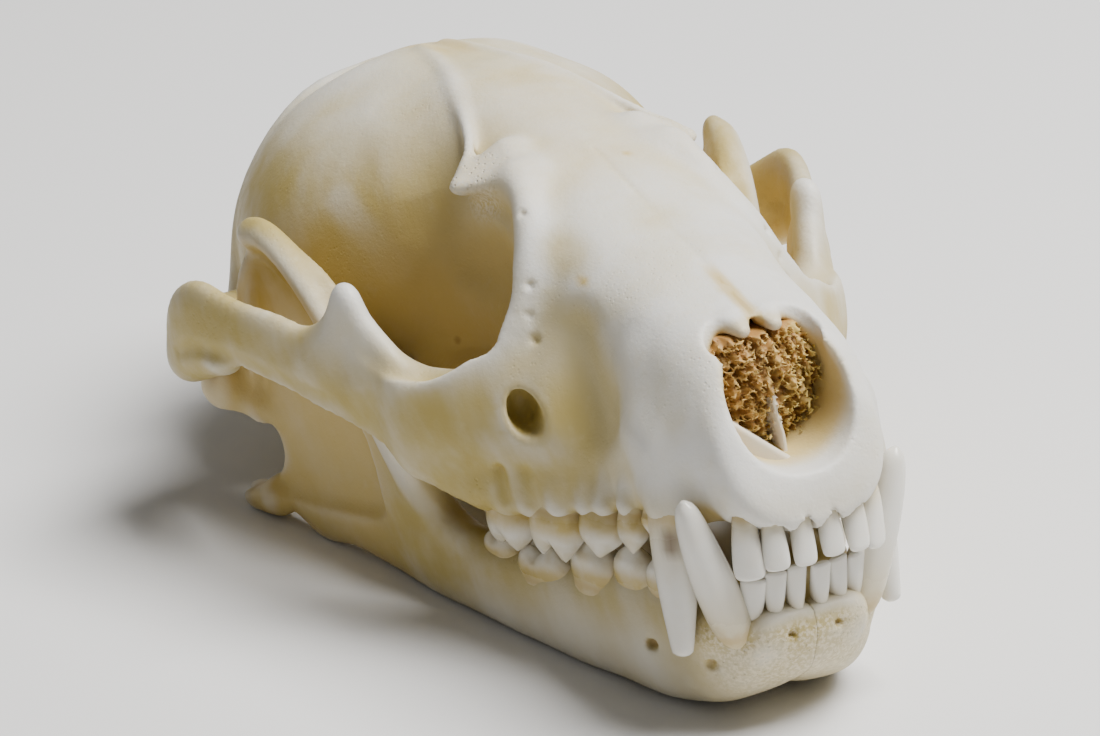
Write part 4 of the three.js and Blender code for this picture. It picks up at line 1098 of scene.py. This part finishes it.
WEDGE_ALONG = [(-0.45, 0.25), (-0.1, 0.48), (0.1, 0.64), (0.4, 0.86), (0.75, 0.98), (0.94, 1), (0.985, 0.9),
               (1, 0.7)]
WEDGE = (WEDGE_ALONG, CHISEL_ACROSS, 0.0, 2.4)
HOOK = [(-0.14, 0.1), (-0.13, 0.36), (-0.1, 0.64), (-0.04, 0.9), (0.05, 1.02), (0.2, 1.04), (0.45, 0.97),
        (0.7, 0.82), (0.88, 0.62), (0.96, 0.42), (1, 0.12)]
LOWER_PEGS = [
    ((1.45, 5, -11.6), (1.45, 3.2, -6.2), (1, 0, 0), (2.3, 2.4), *WEDGE),
    ((3.7, 5.4, -11.6), (3.8, 3.6, -6.2), (1, 0.3, 0), (2.5, 2.6), *WEDGE),
    ((5.7, 6.4, -11.8), (6.3, 4.4, -6.6), (1, 0.6, 0), (2.8, 2.8), *WEDGE),
    ((7.4, 7.4, -12.8), (12.8, 5.2, 3.2), (0.1, 1, 0.3), (5, 4.5), HOOK, HOOK, -1.0, 2.2, -0.14),
]
LOWER_CHEEK = [
    ((9.2, 14.6, -10.6), (9.6, 14.4, -8), (0.3, 1, 0), (2.4, 1.8), ONE_CUSP, 0.2, 0.86),
    ((10, 17.9, -10.6), (10.6, 17.3, -6), (0.3, 1, 0), (4.8, 2.8), ONE_CUSP, 0.46, 0.94),
    ((11.2, 22.4, -10.6), (11.9, 21.6, -5.2), (0.3, 1, 0), (5.8, 3.4), ONE_CUSP, 0.46, 0.94),
    ((13.1, 28.2, -11), (13.6, 27.5, -5.6), (0.3, 1, 0), (6.8, 4.2), ONE_CUSP, 0.46, 0.94),
    ((15, 36.2, -12), (15.2, 36, -6.6), (0.3, 1, 0), (9.4, 4.8), CUTTING, 0.44, 0.94),
    ((16.6, 44.2, -11.2), (16.6, 44.2, -6.8), (0.2, 1, 0), (6.6, 4.6), GRINDING, 0.48, 0.94),
]
LOWER_SEED = 21

for way, label in ((1, "left"), (-1, "right")):
    row = tooth_row("lower_teeth_" + label, LOWER_PEGS, LOWER_CHEEK, (way,), LOWER_SEED + way)
    row.data.materials.append(enamel)
    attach(row, "root")
    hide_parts("mandible_" + label)


# Floor, light and camera: a pale studio table, a large soft light overhead and a camera at the photo's
# angle.

FLOOR_HALF = 2.5
TABLE_WHITE = (0.78, 0.775, 0.77, 1)
floor_corners = [(i * FLOOR_HALF, j * FLOOR_HALF, 0) for i, j in ((-1, -1), (1, -1), (1, 1), (-1, 1))]
floor_mesh = bpy.data.meshes.new("floor")
floor_mesh.from_pydata(floor_corners, [], [(0, 1, 2, 3)])
floor = bpy.data.objects.new("floor", floor_mesh)
bpy.context.scene.collection.objects.link(floor)
table = bpy.data.materials.new("pale table")
table.use_nodes = True
table.node_tree.nodes["Principled BSDF"].inputs["Base Color"].default_value = TABLE_WHITE
table.node_tree.nodes["Principled BSDF"].inputs["Roughness"].default_value = 0.9
floor_mesh.materials.append(table)

world = bpy.data.worlds.new("studio")
bpy.context.scene.world = world
world.use_nodes = True
world.node_tree.nodes["Background"].inputs["Color"].default_value = (0.93, 0.94, 0.96, 1)
world.node_tree.nodes["Background"].inputs["Strength"].default_value = 0.17

LIGHT_AT = np.array((0.28, -0.16, 0.68))
LIGHT_AIM = np.array((0, 0, 0.03))
lamp = bpy.data.lights.new("overhead", "AREA")
lamp.size = 0.42
lamp.energy = 13.6
lamp.color = (1, 0.99, 0.97)
away = (LIGHT_AT - LIGHT_AIM) / np.linalg.norm(LIGHT_AT - LIGHT_AIM)
right = np.cross((0.0, 1.0, 0.001), away)
right /= np.linalg.norm(right)
turn = np.eye(4)
turn[:3] = np.stack([right, np.cross(away, right), away, LIGHT_AT], 1)
light = bpy.data.objects.new("overhead", lamp)
light.matrix_world = Matrix(turn.tolist())
bpy.context.scene.collection.objects.link(light)

LENS_PIXELS = 5250.0
PHOTO_WIDE = 1100
SENSOR = 36
EYE = (-0.23329, -0.49083, 0.27022)
RIGHT = (0.897945, -0.438427, -0.038412)
UP = (0.214131, 0.358971, 0.908454)
BACK = (-0.384502, -0.823967, 0.416217)
camera_data = bpy.data.cameras.new("camera")
camera_data.sensor_width = SENSOR
camera_data.lens = SENSOR * LENS_PIXELS / PHOTO_WIDE
camera_data.clip_end = 20
camera = bpy.data.objects.new("camera", camera_data)
bpy.context.scene.collection.objects.link(camera)
camera.matrix_world = Matrix([(*RIGHT, 0), (*UP, 0), (*BACK, 0), (*EYE, 1)]).transposed()
bpy.context.scene.camera = camera
